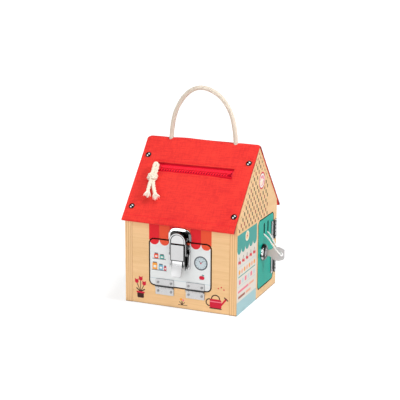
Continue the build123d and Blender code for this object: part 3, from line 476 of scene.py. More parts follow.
# Walls and doors: the axis and side of the outer face, its prints and paint, the ink of the cut edges.
# An opening, across, up, half width and half height, is where those edges lie; else it is all of them
doorPaint = {"specular": 0.12, "paintGrain": 2, "dull": 0.36}
boards = {
    # An awning above the door, a potted plant, a watering can, a tuft
    "front": {
        "name": "printedFront", "axis": 1, "side": -1, "specular": 0.15,
        "edgeInk": "burn", "opening": (0.0, 58.0, 46.0, 34.0),
        "prints": [
            ("stripes", ("red", "orange"), -43, 43, 87, 124, 6),
            ("plant", -55.6, 7, (-5.4, 20.6), (0.3, 24.4), (5.2, 18.4)),
            ("motif", "can", 49, 6), ("motif", "tuft", 3, 5),
        ],
    },
    # A pale shop window with two shelves of jars, a wall clock and an apple
    "frontDoor": {
        "name": "printedDoor", "axis": 1, "side": -1, "specular": 0.2,
        "paint": "paper", "paintGrain": 0, "edgeInk": "burn",
        "prints": [
            ("bar", "mist", 0, 36.5, 90, 0.8, 0.2),
            ("bar", "slate", -29, 47.6, 21, 0.9, 0.3), ("bar", "slate", -29, 62.6, 19, 0.9, 0.3),
            ("jar", "amber", -35, 52.6, 7, 8.8), ("jar", "sky", -26.6, 51.6, 6.2, 7),
            ("jar", "crimson", -20.6, 50.8, 3.6, 5.4), ("jar", "orange", -33, 66.2, 6, 6.2),
            ("jar", "awning", -25, 65.6, 6.6, 5),
            ("motif", "clock", 28.6, 63.6), ("motif", "apple", 30, 44.6),
            ("scallops", ("red", "orange"), -43, 43, 88, 6, 6.9),
        ],
    },
    # A stall with an awning and trays of fruit, dashes and a round window in the gable
    "right": {
        # The print on this side is darkened by the depth share, as painted shade on the side the key lamp
        # lights most
        "name": "printedSide", "axis": 0, "side": 1, "specular": 0.2, "depth": 0.84,
        "edgeInk": "burn", "opening": (31.5, 57.5, 34.0, 50.0),
        "prints": [
            ("dashes", 107, 36, (12, 157, 14.4)), ("motif", "window", 12, 157),
            ("bar", "panelInk", -39.75, 51, 70.5, 106, 0.3), ("bar", "band", -39.75, 8, 70.5, 18, 0.3),
            ("row", ("cherries",), -67, 68, 13.4, 5), ("bar", "mist", -39.75, 62, 62, 1, 0.3),
            ("row", ("amberFruit", "peachFruit"), -66.5, 55.2, 9, 7),
            ("bar", "awning", -39.75, 49.4, 62, 1.4, 0.4),
            ("row", ("roseBox", "mistBox"), -65, 42, 10.4, 6), ("bar", "mist", -39.75, 36.4, 62, 1, 0.3),
            ("bar", "rose", -52, 30, 38, 3, 1), ("bar", "peach", -22, 30, 18, 3, 1),
            ("bar", "clay", -58, 22.4, 24, 3.2, 1), ("bar", "peach", -34, 22.4, 18, 3.2, 1),
            ("bar", "awning", -39.75, 95, 70.5, 19, 0.3), ("scallops", ("awning",) * 2, -75, -4.5, 86, 5, 7),
            ("motif", "sign", -40, 96.5),
        ],
    },
    # Plainer prints in the same inks
    "left": {
        "name": "printedLeft", "axis": 0, "side": -1,
        "prints": [
            ("dashes", 112), ("bar", "red", -40, 100, 72, 8, 0.3),
            ("scallops", ("red", "orange"), -76, -4, 96, 8, 4.4),
            *[("plant", x, 6, (-4, 16), (4.4, 19)) for x in (-62, -40, -18)],
        ],
    },
    "rear": {
        "name": "printedRear", "axis": 1, "side": 1,
        "prints": [
            ("stripes", ("awning", "chalk"), -36, 36, 94, 124, 6),
            ("plant", -54, 6, (-5, 20), (0.4, 25), (5, 19)), ("motif", "tuft", 52, 5),
        ],
    },
    # Painted shade round the two slots of the side door; the cut edges of the teal doors are painted a shaded
    # teal too
    "sideDoor": {
        "name": "tealDoorRight", "axis": 0, "side": 1, "paint": "teal", "edgeInk": "tealDeep", **doorPaint,
        "prints": [("bar", "tealDeep", x, 88.75, 4.6, 17.7, 2.3) for x in (24.1, 38.9)],
    },
    # Painted shade on the cut edges, as on the side door
    "leftDoor": {
        "name": "tealDoorLeft", "axis": 0, "side": -1, "paint": "teal", "edgeInk": "tealDeep", **doorPaint,
    },
    "rearDoor": {
        "name": "paperDoorRear", "axis": 1, "side": 1, "paint": "paper", "edgeInk": "burn", **doorPaint,
    },
}


def boardFinish(board):
    axis = board["axis"]
    finish = Finish(board["name"], **{"Specular IOR Level": board.get("specular", 0.5)})
    wood, onFace = woodColour(finish, axis, 1 - axis)
    across, up = finish.axes()[1 - axis], finish.axes()[2]
    face = wood
    if "paint" in board:
        face, grain = paintOver(finish, board["paint"], board["paintGrain"])
    if "dull" in board:
        finish.set({"Roughness": grain * 0.1 + board["dull"]})
    art = Print(finish, face, across, up)
    for shape, *sizes in board.get("prints", ()):
        getattr(art, shape)(*sizes)
    # A depth share is painted shade over the prints
    if "depth" in board:
        art.colour = finish.shade(art.colour, board["depth"])
    if "edgeInk" in board:
        cut = 1 - onFace
        if "opening" in board:
            middle, level, halfWidth, halfHeight = board["opening"]
            cut = cut * (abs(across - middle) < halfWidth) * (abs(up - level) < halfHeight)
        wood = finish.mix(cut, wood, inks[board["edgeInk"]])
    outer = (finish.facing()[axis] * board["side"]) > plywood["faceFrom"]
    finish.set({"Base Color": finish.mix(outer, wood, art.colour)})
    return finish.material


# Metals, scratched a little. With a side tone, broad faces along one axis are bright and narrow sides
# get a painted dark reflection of the unlit room; painted dark parts of the broad faces and painted
# highlights and dull patches come from functions
def metal(name, tone, roughness, scratch, sideTone=None, axis=1, dark=None, worn=None):
    finish = Finish(name)
    fine = finish.noise(finish.stretched(1.0, 1.0, 0.15), 3.0, 4.0)
    cloud = finish.noise(finish.spot, 0.12, 2.0)
    colour = (tone, tone, tone * 1.01, 1.0)
    if sideTone:
        broad = ((abs(finish.facing()[axis]) - 0.45) * 4.0).clamped()
        if dark:
            broad = broad * (1 - dark(finish))
        colour = finish.mix(broad, (sideTone,) * 3 + (1.0,), colour)
    tint, dull, matt = worn(finish) if worn else (1.0, 0.0, 0.0)
    finish.set({"Base Color": finish.shade(colour, (0.95 + cloud * 0.1) * tint)})
    finish.set({"Roughness": fine * scratch + roughness + dull, "Metallic": 1 - matt})
    finish.bump(fine, 0.05, 0.0001)
    return finish.material


# Hinges: how far out and up the barrels lie, and the part of each knuckle that gets a painted highlight
hingeLook = {
    "frontOut": 75.6, "frontUp": 27.0, "frontHalf": 0.7,
    "sideOut": 78.9, "knuckle": 5.08, "highlightHalf": 1.7,
}


# Painted shade: a dark line along the barrel of each front hinge
def frontBarrel(finish):
    _, y, z = finish.axes()
    return (abs(y) > hingeLook["frontOut"]) * (abs(z - hingeLook["frontUp"]) < hingeLook["frontHalf"])


# Painted highlight down the middle of each knuckle of the side hinges
def knuckleHighlight(finish):
    x, _, z = finish.axes()
    highlit = ((0.3 - abs(finish.facing()[1] + 0.5)) * 8.0).clamped()
    middle = abs((z % hingeLook["knuckle"]) - hingeLook["knuckle"] / 2)
    return highlit * (middle < hingeLook["highlightHalf"]) * (abs(x) > hingeLook["sideOut"])


# Painted dark reflection on the side hinges' barrels, except for the painted highlights
def sideBarrel(finish):
    return (abs(finish.axes()[0]) > hingeLook["sideOut"]) * (1 - knuckleHighlight(finish))


def hingeHighlight(finish):
    worn = knuckleHighlight(finish)
    return 1.0, worn * 0.2, worn * 0.8


def domeRim(finish):
    # Painted reflection on the lock's dome: the lit part, and a dull one low down; the rest is painted dark
    _, y, z = finish.facing()
    lit = ((0.36 - abs(y + 0.84) - abs(z - 0.26) * 0.7) * 10.0).clamped()
    low = ((-0.28 - z) * 8.0).clamped() * 0.6
    return 1 - (lit + low).clamped()


# Draw latch, painted dark as painted shade and dark reflection: the sunk face of the keeper, the crease of
# the lever, the bail's inner rim, the base behind it
latchLook = {
    "line": 0.5, "crease": 66.0, "leverHalf": 8.5,
    "strip": 63.7, "stripHalf": 1.5, "lip": 61.0, "lipFade": 3.0,
    "archHalf": 9.6, "archTop": 100.1, "archOuter": 10.9, "armTop": 87.9, "arm": 10.5, "armHalf": 0.25,
    "baseHalf": 11.2, "baseLow": 56.5,
}


def keeperFace(finish):
    x, y, _ = finish.facing()
    # Painted dark reflection on the keeper's faces that turn to the right
    right = ((x - 0.12) * 5.0).clamped() * 0.8
    return (((abs(y) - 0.955) * 40.0).clamped() + right).clamped()


def leverCrease(finish):
    x, _, z = finish.axes()
    crease = abs(z - latchLook["crease"]) < latchLook["line"]
    return (crease + (abs(x) > latchLook["leverHalf"]) * (z > latchLook["crease"])).clamped()


def leverTongue(finish):
    # Painted highlight: a bright strip under the crease; the lip below it is painted dull
    z = finish.axes()[2]
    strip = abs(z - latchLook["strip"]) < latchLook["stripHalf"]
    lip = ((latchLook["lip"] - z) / latchLook["lipFade"]).clamped()
    return 1 + strip * 0.5 - lip * 0.1, lip * 0.3, lip * 0.6


def bailRim(finish):
    x, _, z = finish.axes()
    up = finish.maths("MAXIMUM", z - (latchLook["archTop"] - latchLook["archHalf"]))
    away = finish.maths("SQRT", x * x + up * up)
    rim = abs(away - latchLook["archHalf"] + latchLook["line"]) < latchLook["line"]
    arm = (z < latchLook["armTop"]) * (abs(abs(x) - latchLook["arm"]) > latchLook["armHalf"])
    return (rim + arm + (away > latchLook["archOuter"])).clamped()


def baseShade(finish):
    x, _, z = finish.axes()
    return (abs(x) < latchLook["baseHalf"]) * (z > latchLook["baseLow"])


def tackLights(finish):
    # Painted reflections of two lamps in the dome: a large one at the upper right, a small one low in the
    # middle
    x, _, z = finish.facing()
    upper = ((0.42 - abs(x - 0.4) - abs(z - 0.78)) * 8.0).clamped()
    lower = ((0.3 - abs(x + 0.04) - abs(z - 0.2)) * 8.0).clamped()
    return (upper + lower).clamped()


# Painted dark reflection on the rest of each tack's dome
def tackSpots(finish):
    return 1 - tackLights(finish)


def tackGlint(finish):
    lit = tackLights(finish)
    return 1.0, lit * 0.4, lit * 0.75


# Name, tone, roughness, scratches, side tone, axis, painted dark parts, painted highlights and dull parts
metals = {
    "chrome": ("brightChrome", 0.74, 0.04, 0.05),
    "lockFace": ("lockChrome", 0.9, 0.05, 0.05, 0.05, 1, domeRim),
    "latch": ("latchChrome", 0.62, 0.06, 0.06, 0.05),
    "latchBase": ("baseChrome", 0.62, 0.06, 0.06, 0.04, 1, baseShade),
    "tack": ("tackChrome", 0.95, 0.05, 0.04, 0.02, 1, tackSpots, tackGlint),
    "latchKeeper": ("keeperChrome", 0.78, 0.05, 0.05, 0.05, 1, keeperFace),
    "latchLever": ("leverChrome", 0.6, 0.06, 0.06, 0.05, 1, leverCrease, leverTongue),
    "latchBail": ("bailChrome", 0.66, 0.06, 0.06, 0.04, 1, bailRim),
    "hinge": ("satinHingeFront", 0.56, 0.22, 0.14, 0.08, 1, frontBarrel),
    "sideHinge": ("satinHingeSide", 0.62, 0.22, 0.14, 0.08, 0, sideBarrel, hingeHighlight),
    "screw": ("screwSteel", 0.3, 0.3, 0.1),
    "key": ("keyNickel", 0.62, 0.3, 0.12),
}


# Plastic of the zip teeth, the shade between them, the lacquered slider
def cloudy(name, colour, scale, detail, spread, roughness=None, **constants):
    finish = Finish(name, **constants)
    cloud = finish.noise(finish.spot, scale, detail)
    finish.set({"Base Color": finish.shade(colour, 0.9 + cloud * spread)})
    if roughness:
        least, more = roughness
        finish.set({"Roughness": cloud * more + least})
    return finish.material


# Cloth, with its flat place in the UV map
cloth = {
    "thread": 0.62, "roofInk": rgb(239, 57, 43), "roofDeep": rgb(211, 30, 32), "rim": rgb(112, 15, 25),
    "tapeInk": rgb(236, 25, 50), "tapeRib": 0.8, "tapePick": 0.5,
}


def flatPlace(finish):
    across, along, _ = finish.axes(finish.place("UV"))
    return across / mm, along / mm


def wave(value, pitch):
    return abs((value * (math.pi / pitch)).sine())


def roofCloth():
    finish = Finish("roofCloth", **{"Roughness": 0.85, "Sheen Weight": 0.12, "Specular IOR Level": 0.25})
    across, along = flatPlace(finish)
    thread = cloth["thread"]
    # Plain weave: each thread goes over and under by turns
    over = ((across / thread).floored() + (along / thread).floored()) % 2
    weave = wave(across, thread) * over + wave(along, thread) * (1 - over)
    slub = finish.noise(finish.stretched(0.1, 1.0, 1.0), 0.9, 4.0, 0.7)
    warp = finish.noise(finish.stretched(1.0, 0.12, 0.12), 0.8, 3.0, 0.7)
    cloud = finish.noise(finish.spot, 0.035, 3.0)
    mottle = (slub * 2.2 + warp * 1.4 + cloud * 0.9 - 1.75).clamped()
    colour = finish.mix(mottle, cloth["roofInk"], cloth["roofDeep"])
    # Painted shade on the cloth's edges that face the sides
    rim = ((abs(finish.facing()[0]) - 0.5) * 4.0).clamped()
    finish.set({"Base Color": finish.mix(rim, finish.shade(colour, 0.9 + weave * 0.12), cloth["rim"])})
    finish.bump(weave + slub * 1.6 + warp, 0.4, 0.0002)
    return finish.material


def zipTapeCloth():
    finish = Finish("zipTapeCloth", **{"Roughness": 0.9, "Specular IOR Level": 0.1})
    across, along = flatPlace(finish)
    rib, weft = wave(along, cloth["tapeRib"]), wave(across, cloth["tapePick"])
    finish.set({"Base Color": finish.shade(cloth["tapeInk"], 0.84 + rib * 0.12 + weft * 0.08)})
    finish.bump(rib + weft * 0.5, 0.5, 0.0002)
    return finish.material


# Cotton: the lay of the fibres runs along each strand; a glow stands for light through thin fibres
cotton = {
    "rope": ("ropeCotton", rgb(226, 215, 200), rgb(212, 198, 180)),
    "pull": ("pullCotton", rgb(242, 231, 215), rgb(229, 212, 190)),
    "fringe": ("fringeCotton", rgb(252, 246, 236), rgb(242, 233, 218), 0.16),
    "string": ("whiteString", rgb(248, 247, 244), rgb(216, 216, 212)),
}


def cottonFibre(name, ink, shadeInk, glow=0.0):
    finish = Finish(name, **{"Roughness": 0.9, "Sheen Weight": 0.25, "Specular IOR Level": 0.2})
    finish.set({"Emission Color": ink, "Emission Strength": glow})
    turn, along, _ = finish.axes(finish.place("UV"))
    yarn = wave(turn * 6.0 + along * 260.0, 1.0)
    fuzz = finish.noise(finish.spot, 1.6, 4.0, 0.7)
    finish.set({"Base Color": finish.mix((1.1 - yarn * 0.7 - fuzz * 0.5).clamped(), ink, shadeInk)})
    finish.bump(yarn + fuzz * 1.5, 0.5, 0.0003)
    return finish.material


lacquer = {"Specular IOR Level": 0.6, "Coat Weight": 0.3}
unlit = {"Roughness": 0.9, "Specular IOR Level": 0.0}
moulded = {"Specular IOR Level": 0.25}
finishes = {
    **{key: boardFinish(board) for key, board in boards.items()},
    "floorWood": bareWood("floorWood"), "beamWood": bareWood("beamWood"),
    **{key: metal(*settings) for key, settings in metals.items()},
    "zipMetal": cloudy("zipMetal", rgb(214, 30, 50), 0.5, 3.0, 0.16, (0.24, 0.1), **lacquer),
    "zipShade": cloudy("zipShadow", rgb(150, 6, 28), 0.5, 3.0, 0.2, **unlit),
    "zipPlastic": cloudy("zipPlastic", rgb(246, 32, 54), 0.6, 2.0, 0.2, (0.3, 0.15), **moulded),
    "roof": roofCloth(), "tape": zipTapeCloth(),
    **{key: cottonFibre(*settings) for key, settings in cotton.items()},
}
print("finishes made:", len(finishes))


# Finishes by the names of the nodes; others go by their endings
lookOf = {
    "front_wall": "front", "right_wall": "right", "left_wall": "left", "rear_wall": "rear",
    "floor_panel": "floorWood", "ridge_beam": "beamWood", "front_door": "frontDoor",
    "side_door": "sideDoor", "left_door": "leftDoor", "rear_door": "rearDoor",
    "zip_teeth": "zipPlastic", "zip_slider": "zipMetal", "zip_stops": "zipMetal", "roof_tacks": "tack",
    "lock_housing": "lockFace", "latch_base": "latchBase", "latch_keeper": "latchKeeper",
    "latch_lever": "latchLever", "latch_bail": "latchBail",
    **dict.fromkeys(("key", "hook", "hook_eye", "bolt_plate", "bolt_keeper", "lock_cam", "lock_nut"), "key"),
}


def finishOf(name):
    if name in lookOf:
        return lookOf[name]
    if name.endswith("leaves"):
        return "sideHinge" if name.startswith(("side", "left")) else "hinge"
    if name.endswith(("screws", "pins", "screw")):
        return "screw"
    return "latch" if name.startswith("latch") else "chrome"


for name, node in nodes.items():
    dress(node, finishOf(name))
print("finishes given to", len(nodes), "nodes")


# Rolled and sanded edges: the width for each ending of a node's name
softEdges = {
    0.9 * mm: ("_wall",), 0.4 * mm: ("_door",), 0.2 * mm: ("leaves",),
    0.3 * mm: ("latch_keeper", "latch_base", "latch_lever", "latch_bail", "key", "bolt_plate", "bolt_keeper"),
}


def softenEdges(node, width):
    weld = node.modifiers.new("weld", "WELD")
    weld.merge_threshold = 1e-6
    bevel = node.modifiers.new("softEdge", "BEVEL")
    bevel.width = width
    bevel.segments = 3
    bevel.limit_method = "ANGLE"
    bevel.angle_limit = math.radians(40)
    bevel.harden_normals = True


for name, node in nodes.items():
    for width, endings in softEdges.items():
        if name.endswith(endings):
            softenEdges(node, width)
print("edges softened")


# Cords follow a NURBS line through the route's points
def routeLine(points, steps=24):
    curve = bpy.data.curves.new("route", "CURVE")
    curve.dimensions = "3D"
    curve.resolution_u = steps
    spline = curve.splines.new("NURBS")
    spline.points.add(len(points) - 1)
    for spot, place in zip(spline.points, points):
        spot.co = (*place, 1)
    spline.order_u = 3
    spline.use_endpoint_u = True
    holder = bpy.data.objects.new("route", curve)
    mesh = bpy.data.meshes.new_from_object(holder)
    line = [vertex.co.copy() for vertex in mesh.vertices]
    bpy.data.meshes.remove(mesh)
    bpy.data.objects.remove(holder)
    bpy.data.curves.remove(curve)
    return line


def lineLength(line):
    return sum((b - a).length for a, b in zip(line, line[1:]))


def evenly(line, step):
    # The same line with its points at an even spacing
    count = max(2, round(lineLength(line) / step))
    gap = lineLength(line) / count
    out, left = [line[0].copy()], gap
    for a, b in zip(line, line[1:]):
        run = (b - a).length
        at = left
        while at <= run + 1e-9:
            out.append(a.lerp(b, at / run))
            at += gap
        left = at - run
    return out[:count] + [line[-1].copy()]


def crossAxes(line):
    # Two directions square to the line at each point, carried along without twist
    ways = [(b - a).normalized() for a, b in zip(line, line[1:])]
    ways.append(ways[-1])
    side = ways[0].orthogonal().normalized()
    pairs = []
    for i, way in enumerate(ways):
        middle = (way + ways[max(i - 1, 0)]).normalized()
        side = (side - middle * side.dot(middle)).normalized()
        pairs.append((side.copy(), middle.cross(side)))
    return pairs


def around(turn, side, over):
    return math.cos(turn) * side + math.sin(turn) * over


def strands(line, count, offset, lay):
    # Lines that wind round the middle line
    axes = crossAxes(line)
    made = []
    for k in range(count):
        along, wound = 0.0, []
        for i, place in enumerate(line):
            if i:
                along += (place - line[i - 1]).length
            turn = 2 * math.pi * (along / lay + k / count)
            wound.append(place + offset * around(turn, *axes[i]))
        made.append(wound)
    return made


def tubes(name, lines, radius, sides, taper=0.0):
    # Closed tubes along lines, in one mesh, with the length along each tube in its UV map
    vertices, faces, maps = [], [], []
    for line in lines:
        axes = crossAxes(line)
        first, along = len(vertices), 0.0
        for i, place in enumerate(line):
            size = radius * (1 - taper * i / (len(line) - 1))
            vertices += [place + size * around(2 * math.pi * k / sides, *axes[i]) for k in range(sides)]
            if i == 0:
                continue
            before, along = along, along + (place - line[i - 1]).length
            near, far = first + (i - 1) * sides, first + i * sides
            for k in range(sides):
                after = (k + 1) % sides
                faces.append((near + k, near + after, far + after, far + k))
                low, high = k / sides, (k + 1) / sides
                maps += [(low, before), (high, before), (high, along), (low, along)]
        last = first + (len(line) - 1) * sides
        faces.append(tuple(first + k for k in reversed(range(sides))))
        faces.append(tuple(last + k for k in range(sides)))
        maps += [(0.5, 0.0)] * sides + [(0.5, along)] * sides
    mesh = bpy.data.meshes.new(name)
    mesh.from_pydata(vertices, [], faces)
    for spot, uv in zip(mesh.uv_layers.new(name="along").data, maps):
        spot.uv = uv
    piece = bpy.data.objects.new(name, mesh)
    bpy.context.scene.collection.objects.link(piece)
    smooth(piece, 60)
    return piece


def coil(size):
    # Shares along a coil, with the cosine and sine of its turn
    for i in range(size["steps"] + 1):
        share = i / size["steps"]
        turn = 2 * math.pi * size["turns"] * share + size["start"] * math.pi
        yield share, math.cos(turn), math.sin(turn)


def laidCord(name, line, size):
    # A cord laid up from twisted strands
    thick = size["diameter"] / 2
    strand = thick / (1 + 1 / math.sin(math.pi / size["strands"]))
    wound = strands(evenly(line, size["step"]), size["strands"], thick - strand, size["lay"])
    return tubes(name, wound, strand * size["full"], size["sides"])


# The roof's slopes: along the zip, down from the ridge, off the wood
roof = {
    "ridge": 203.5, "rise": 85.5, "run": 75.0, "eaveDrop": 125.4, "halfWidth": 78.5,
    "zipDrop": 43.5, "zipMiddle": -2.0,
}
slopeAngle = math.atan(roof["rise"] / roof["run"])


def onSlope(x, drop, out):
    # A point off the front slope
    y = -(drop * math.cos(slopeAngle) + out * math.sin(slopeAngle))
    z = roof["ridge"] - drop * math.sin(slopeAngle) + out * math.cos(slopeAngle)
    return Vector((x, y, z)) * mm


# Rope handle: eight strands, through the ridge, a knot under the beam at each end
ropeHandle = {
    "points": [
        (-45.5, 0, 188.5), (-45.5, 0, 228.09), (-28.12, 0, 263.84), (-3.0, 0, 277.5),
        (28.12, 0, 263.84), (45.5, 0, 228.09), (45.5, 0, 188.5),
    ],
    "diameter": 5.5 * mm, "strands": 8, "lay": 34 * mm, "step": 1.0 * mm, "sides": 8, "full": 1.35,
    "knot": {
        "x": 45.5, "top": 185.4, "drop": 6.48, "radius": 3.3, "turns": 2.0, "start": 0.0, "steps": 24,
        "routeSteps": 6, "strands": 3, "strand": 1.35 * mm, "lay": 15 * mm, "step": 1.0 * mm, "sides": 8,
    },
}


def makeRope():
    line = routeLine([Vector(p) * mm for p in ropeHandle["points"]])
    rope = laidCord("ropeHandle", line, ropeHandle)
    carry(rope, "rope", "house", "cotton_rope", "rope_handle")
    knot = ropeHandle["knot"]
    knotLines = []
    for side in (-1, 1):
        points = []
        for share, x, y in coil(knot):
            x, y = side * knot["x"] + knot["radius"] * x, knot["radius"] * y
            points.append(Vector((x, y, knot["top"] - knot["drop"] * share)) * mm)
        wound = evenly(routeLine(points, knot["routeSteps"]), knot["step"])
        knotLines += strands(wound, knot["strands"], knot["strand"], knot["lay"])
    knots = tubes("ropeKnots", knotLines, knot["strand"], knot["sides"])
    carry(knots, "rope", "house", "cotton_rope", "rope_knots")
    print("rope handle:", round(lineLength(line) / mm, 1), "mm")


# Pull of the zip: a doubled cord round the slider's bridge, one knot, two frayed tails
zipPull = {
    "middle": -52.1, "diameter": 4.6 * mm, "strands": 3, "lay": 13 * mm, "step": 0.7 * mm,
    "sides": 9, "full": 1.22,
    "points": [
        (1.2, -42.2, 7.6), (-0.2, -31.8, 7.2), (0.2, -24.0, 7.4), (-0.9, -9.0, 7.6), (-1.2, -1.5, 7.8),
        (-1.6, 2.2, 7.2), (1.5, 2.2, 6.4), (2.1, -1.5, 5.2), (2.2, -9.0, 5.0), (2.7, -24.0, 5.4),
        (6.0, -31.8, 6.2), (13.0, -44.4, 7.6),
    ],
    "knot": {
        "y": -17.5, "lift": 5.9, "across": 5.1, "through": 2.9, "turns": 1.9, "pitch": 3.4, "start": 0.6,
        "tilt": 1.3, "steps": 40, "routeSteps": 6, "cord": 4.2 * mm, "lay": 9 * mm,
    },
    "fringe": {
        "seed": 7, "hairs": 80, "hair": 0.28 * mm, "sides": 5, "taper": 0.35, "length": 6.0 * mm,
        "reach": (0.45, 1.2), "spread": 0.56, "stray": 0.12, "sunk": 2.2 * mm, "rim": 2.1 * mm,
        "bow": 0.35 * mm, "tail": 8,
    },
}


def makePull():
    def place(x, y, out):
        return onSlope(zipPull["middle"] + x, roof["zipDrop"] - y, out)

    line = routeLine([place(*p) for p in zipPull["points"]])
    cord = laidCord("zipPullCord", line, zipPull)
    carry(cord, "pull", "zip_slider", "cotton_cord", "zip_pull_cord")

    size = zipPull["knot"]
    wraps = []
    for share, x, out in coil(size):
        y = size["y"] + size["pitch"] * (0.5 - share) * size["turns"] + size["tilt"] * x
        wraps.append(place(size["across"] * x, y, size["lift"] + size["through"] * out))
    shape = dict(zipPull, diameter=size["cord"], lay=size["lay"])
    knot = laidCord("zipPullKnot", routeLine(wraps, size["routeSteps"]), shape)
    carry(knot, "pull", "zip_slider", "cotton_cord", "zip_pull_knot")

    fringe = zipPull["fringe"]
    draw = random.Random(fringe["seed"])
    hairs = []
    for end, before in ((line[0], line[fringe["tail"]]), (line[-1], line[-1 - fringe["tail"]])):
        way = (end - before).normalized()
        side = way.orthogonal().normalized()
        for _ in range(fringe["hairs"]):
            turn = draw.uniform(0, 2 * math.pi)
            out = math.sqrt(draw.uniform(0, 1))
            rim = around(turn, side, way.cross(side))
            root = end - way * fringe["sunk"] + rim * out * fringe["rim"]
            reach = fringe["length"] * draw.uniform(*fringe["reach"])
            stray = draw.uniform(-fringe["stray"], fringe["stray"])
            aim = (way + rim * out * fringe["spread"] + rim * stray).normalized()
            middle = root + aim * reach * 0.5 + rim * out * fringe["bow"]
            tip = root + aim * reach
            hairs.append([root, root.lerp(middle, 0.5), middle, middle.lerp(tip, 0.5), tip])
    ends = tubes("zipPullFringe", hairs, fringe["hair"], fringe["sides"], fringe["taper"])
    carry(ends, "fringe", "zip_slider", "cotton_cord")
    print("zip pull:", round(lineLength(line) / mm, 1), "mm")


# Key string: out of one slot of the door, through the key and back into the other slot
keyString = {
    "points": [
        (65.3, 29.5, 83.65), (65.3, 24.1, 82.75), (79.0, 24.1, 83.15), (94.96, 17.6, 66.29),
        (102.9, 17.8, 58.1), (102.9, 23.2, 58.1), (94.96, 23.4, 66.29), (79.0, 38.9, 83.15),
        (65.3, 38.9, 82.75), (65.3, 33.5, 83.65),
    ],
    "diameter": 2.1 * mm, "strands": 3, "lay": 6 * mm, "step": 0.5 * mm, "sides": 7, "full": 1.15,
    "bend": ((0.0835, 0.0205, 0.0775), (0.0975, 0.0205, 0.0630)),
}


def makeString():
    line = routeLine([Vector(p) * mm for p in keyString["points"]])
    string = laidCord("keyString", line, keyString)
    dress(string, "string")
    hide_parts("key_string")
    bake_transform(string)
    print("key string:", round(lineLength(line) / mm, 1), "mm")


makeRope()
makePull()
makeString()


# Roof cloth: one sheet over the ridge, a folded hem at each eave, a slot for the zip
canvas = {
    "middle": 0.8, "thick": 1.4 * mm, "step": 2.4, "hem": 10.3, "hemDrop": 1.5, "foldStep": 0.4,
    "ridgeRound": 1.6, "ridgeFlat": 2.4, "ridgeStep": 0.6,
    "ridgeReach": 24.0, "ridgeLift": 3.4, "ridgeFall": 1.2, "ridgeEnds": (6.0, 1.2),
    "swells": [(-0.5, -45.5, 5.0), (-0.5, 45.5, 5.0), (0.6, -24.0, 14.0), (-0.3, 14.0, 18.0)],
    "leftRise": 1.9, "rightTuck": 2.8, "ripple": 0.16, "rippleEdge": 12.0, "rippleRidge": 18.0,
    "slot": {
        "x0": -57.5, "x1": 53.5, "drop": 42.7, "half": 6.9, "sink": 0.35, "reach": 5.0,
        "rightSag": 2.5, "sagFrom": 12.0, "sagReach": 22.0,
    },
    "tacks": [(x, d, s) for x in (-70.0, 70.0) for d in (26.3, 103.13) for s in (-1, 1)],
    "tackSink": 0.32, "tackReach": 5.5,
    "pucker": {"high": 0.2, "away": 10.0, "reach": 5.0, "folds": 5},
    "holes": (-45.5, 45.5), "holeRadius": 3.15 * mm, "cutDepth": 24 * mm,
}


def ticks(stops, step):
    # Even steps between the stops, so that every stop has a line of its own
    out = [stops[0]]
    for a, b in zip(stops, stops[1:]):
        count = max(1, round((b - a) / step))
        out += [a + (b - a) * (i + 1) / count for i in range(count)]
    return out


def bell(value, reach):
    return math.exp(-((value / reach) ** 2))


def ripple(x, s):
    # Slow waves of hand stretched cloth
    return (
        math.sin(x * 0.045 + 0.6) * math.sin(s * 0.038 + 0.3)
        + 0.5 * math.sin(x * 0.11 + s * 0.05)
        + 0.35 * math.sin(s * 0.13 - x * 0.03 + 1.1)
    )


def tackDent(x, flat, side):
    # Cloth drawn in by the tacks, with small puckers round them
    pucker = canvas["pucker"]
    out = 0.0
    for tackX, tackDrop, tackSide in canvas["tacks"]:
        if tackSide == side:
            away = math.hypot(x - tackX, flat - tackDrop)
            fold = math.sin(pucker["folds"] * math.atan2(flat - tackDrop, x - tackX))
            out -= canvas["tackSink"] * bell(away, canvas["tackReach"])
            out += pucker["high"] * bell(away - pucker["away"], pucker["reach"]) * fold
    return out


def ridgeLift(x):
    # The cloth stands off the wood along the ridge and sinks towards the ends
    lift = canvas["ridgeLift"] - canvas["ridgeFall"] * max(0.0, x / roof["halfWidth"])
    lift *= min(1.0, (roof["halfWidth"] - abs(x)) / canvas["ridgeEnds"][x >= 0] + 0.1) ** 0.6
    return lift + sum(high * bell(x - at, reach) for high, at, reach in canvas["swells"])


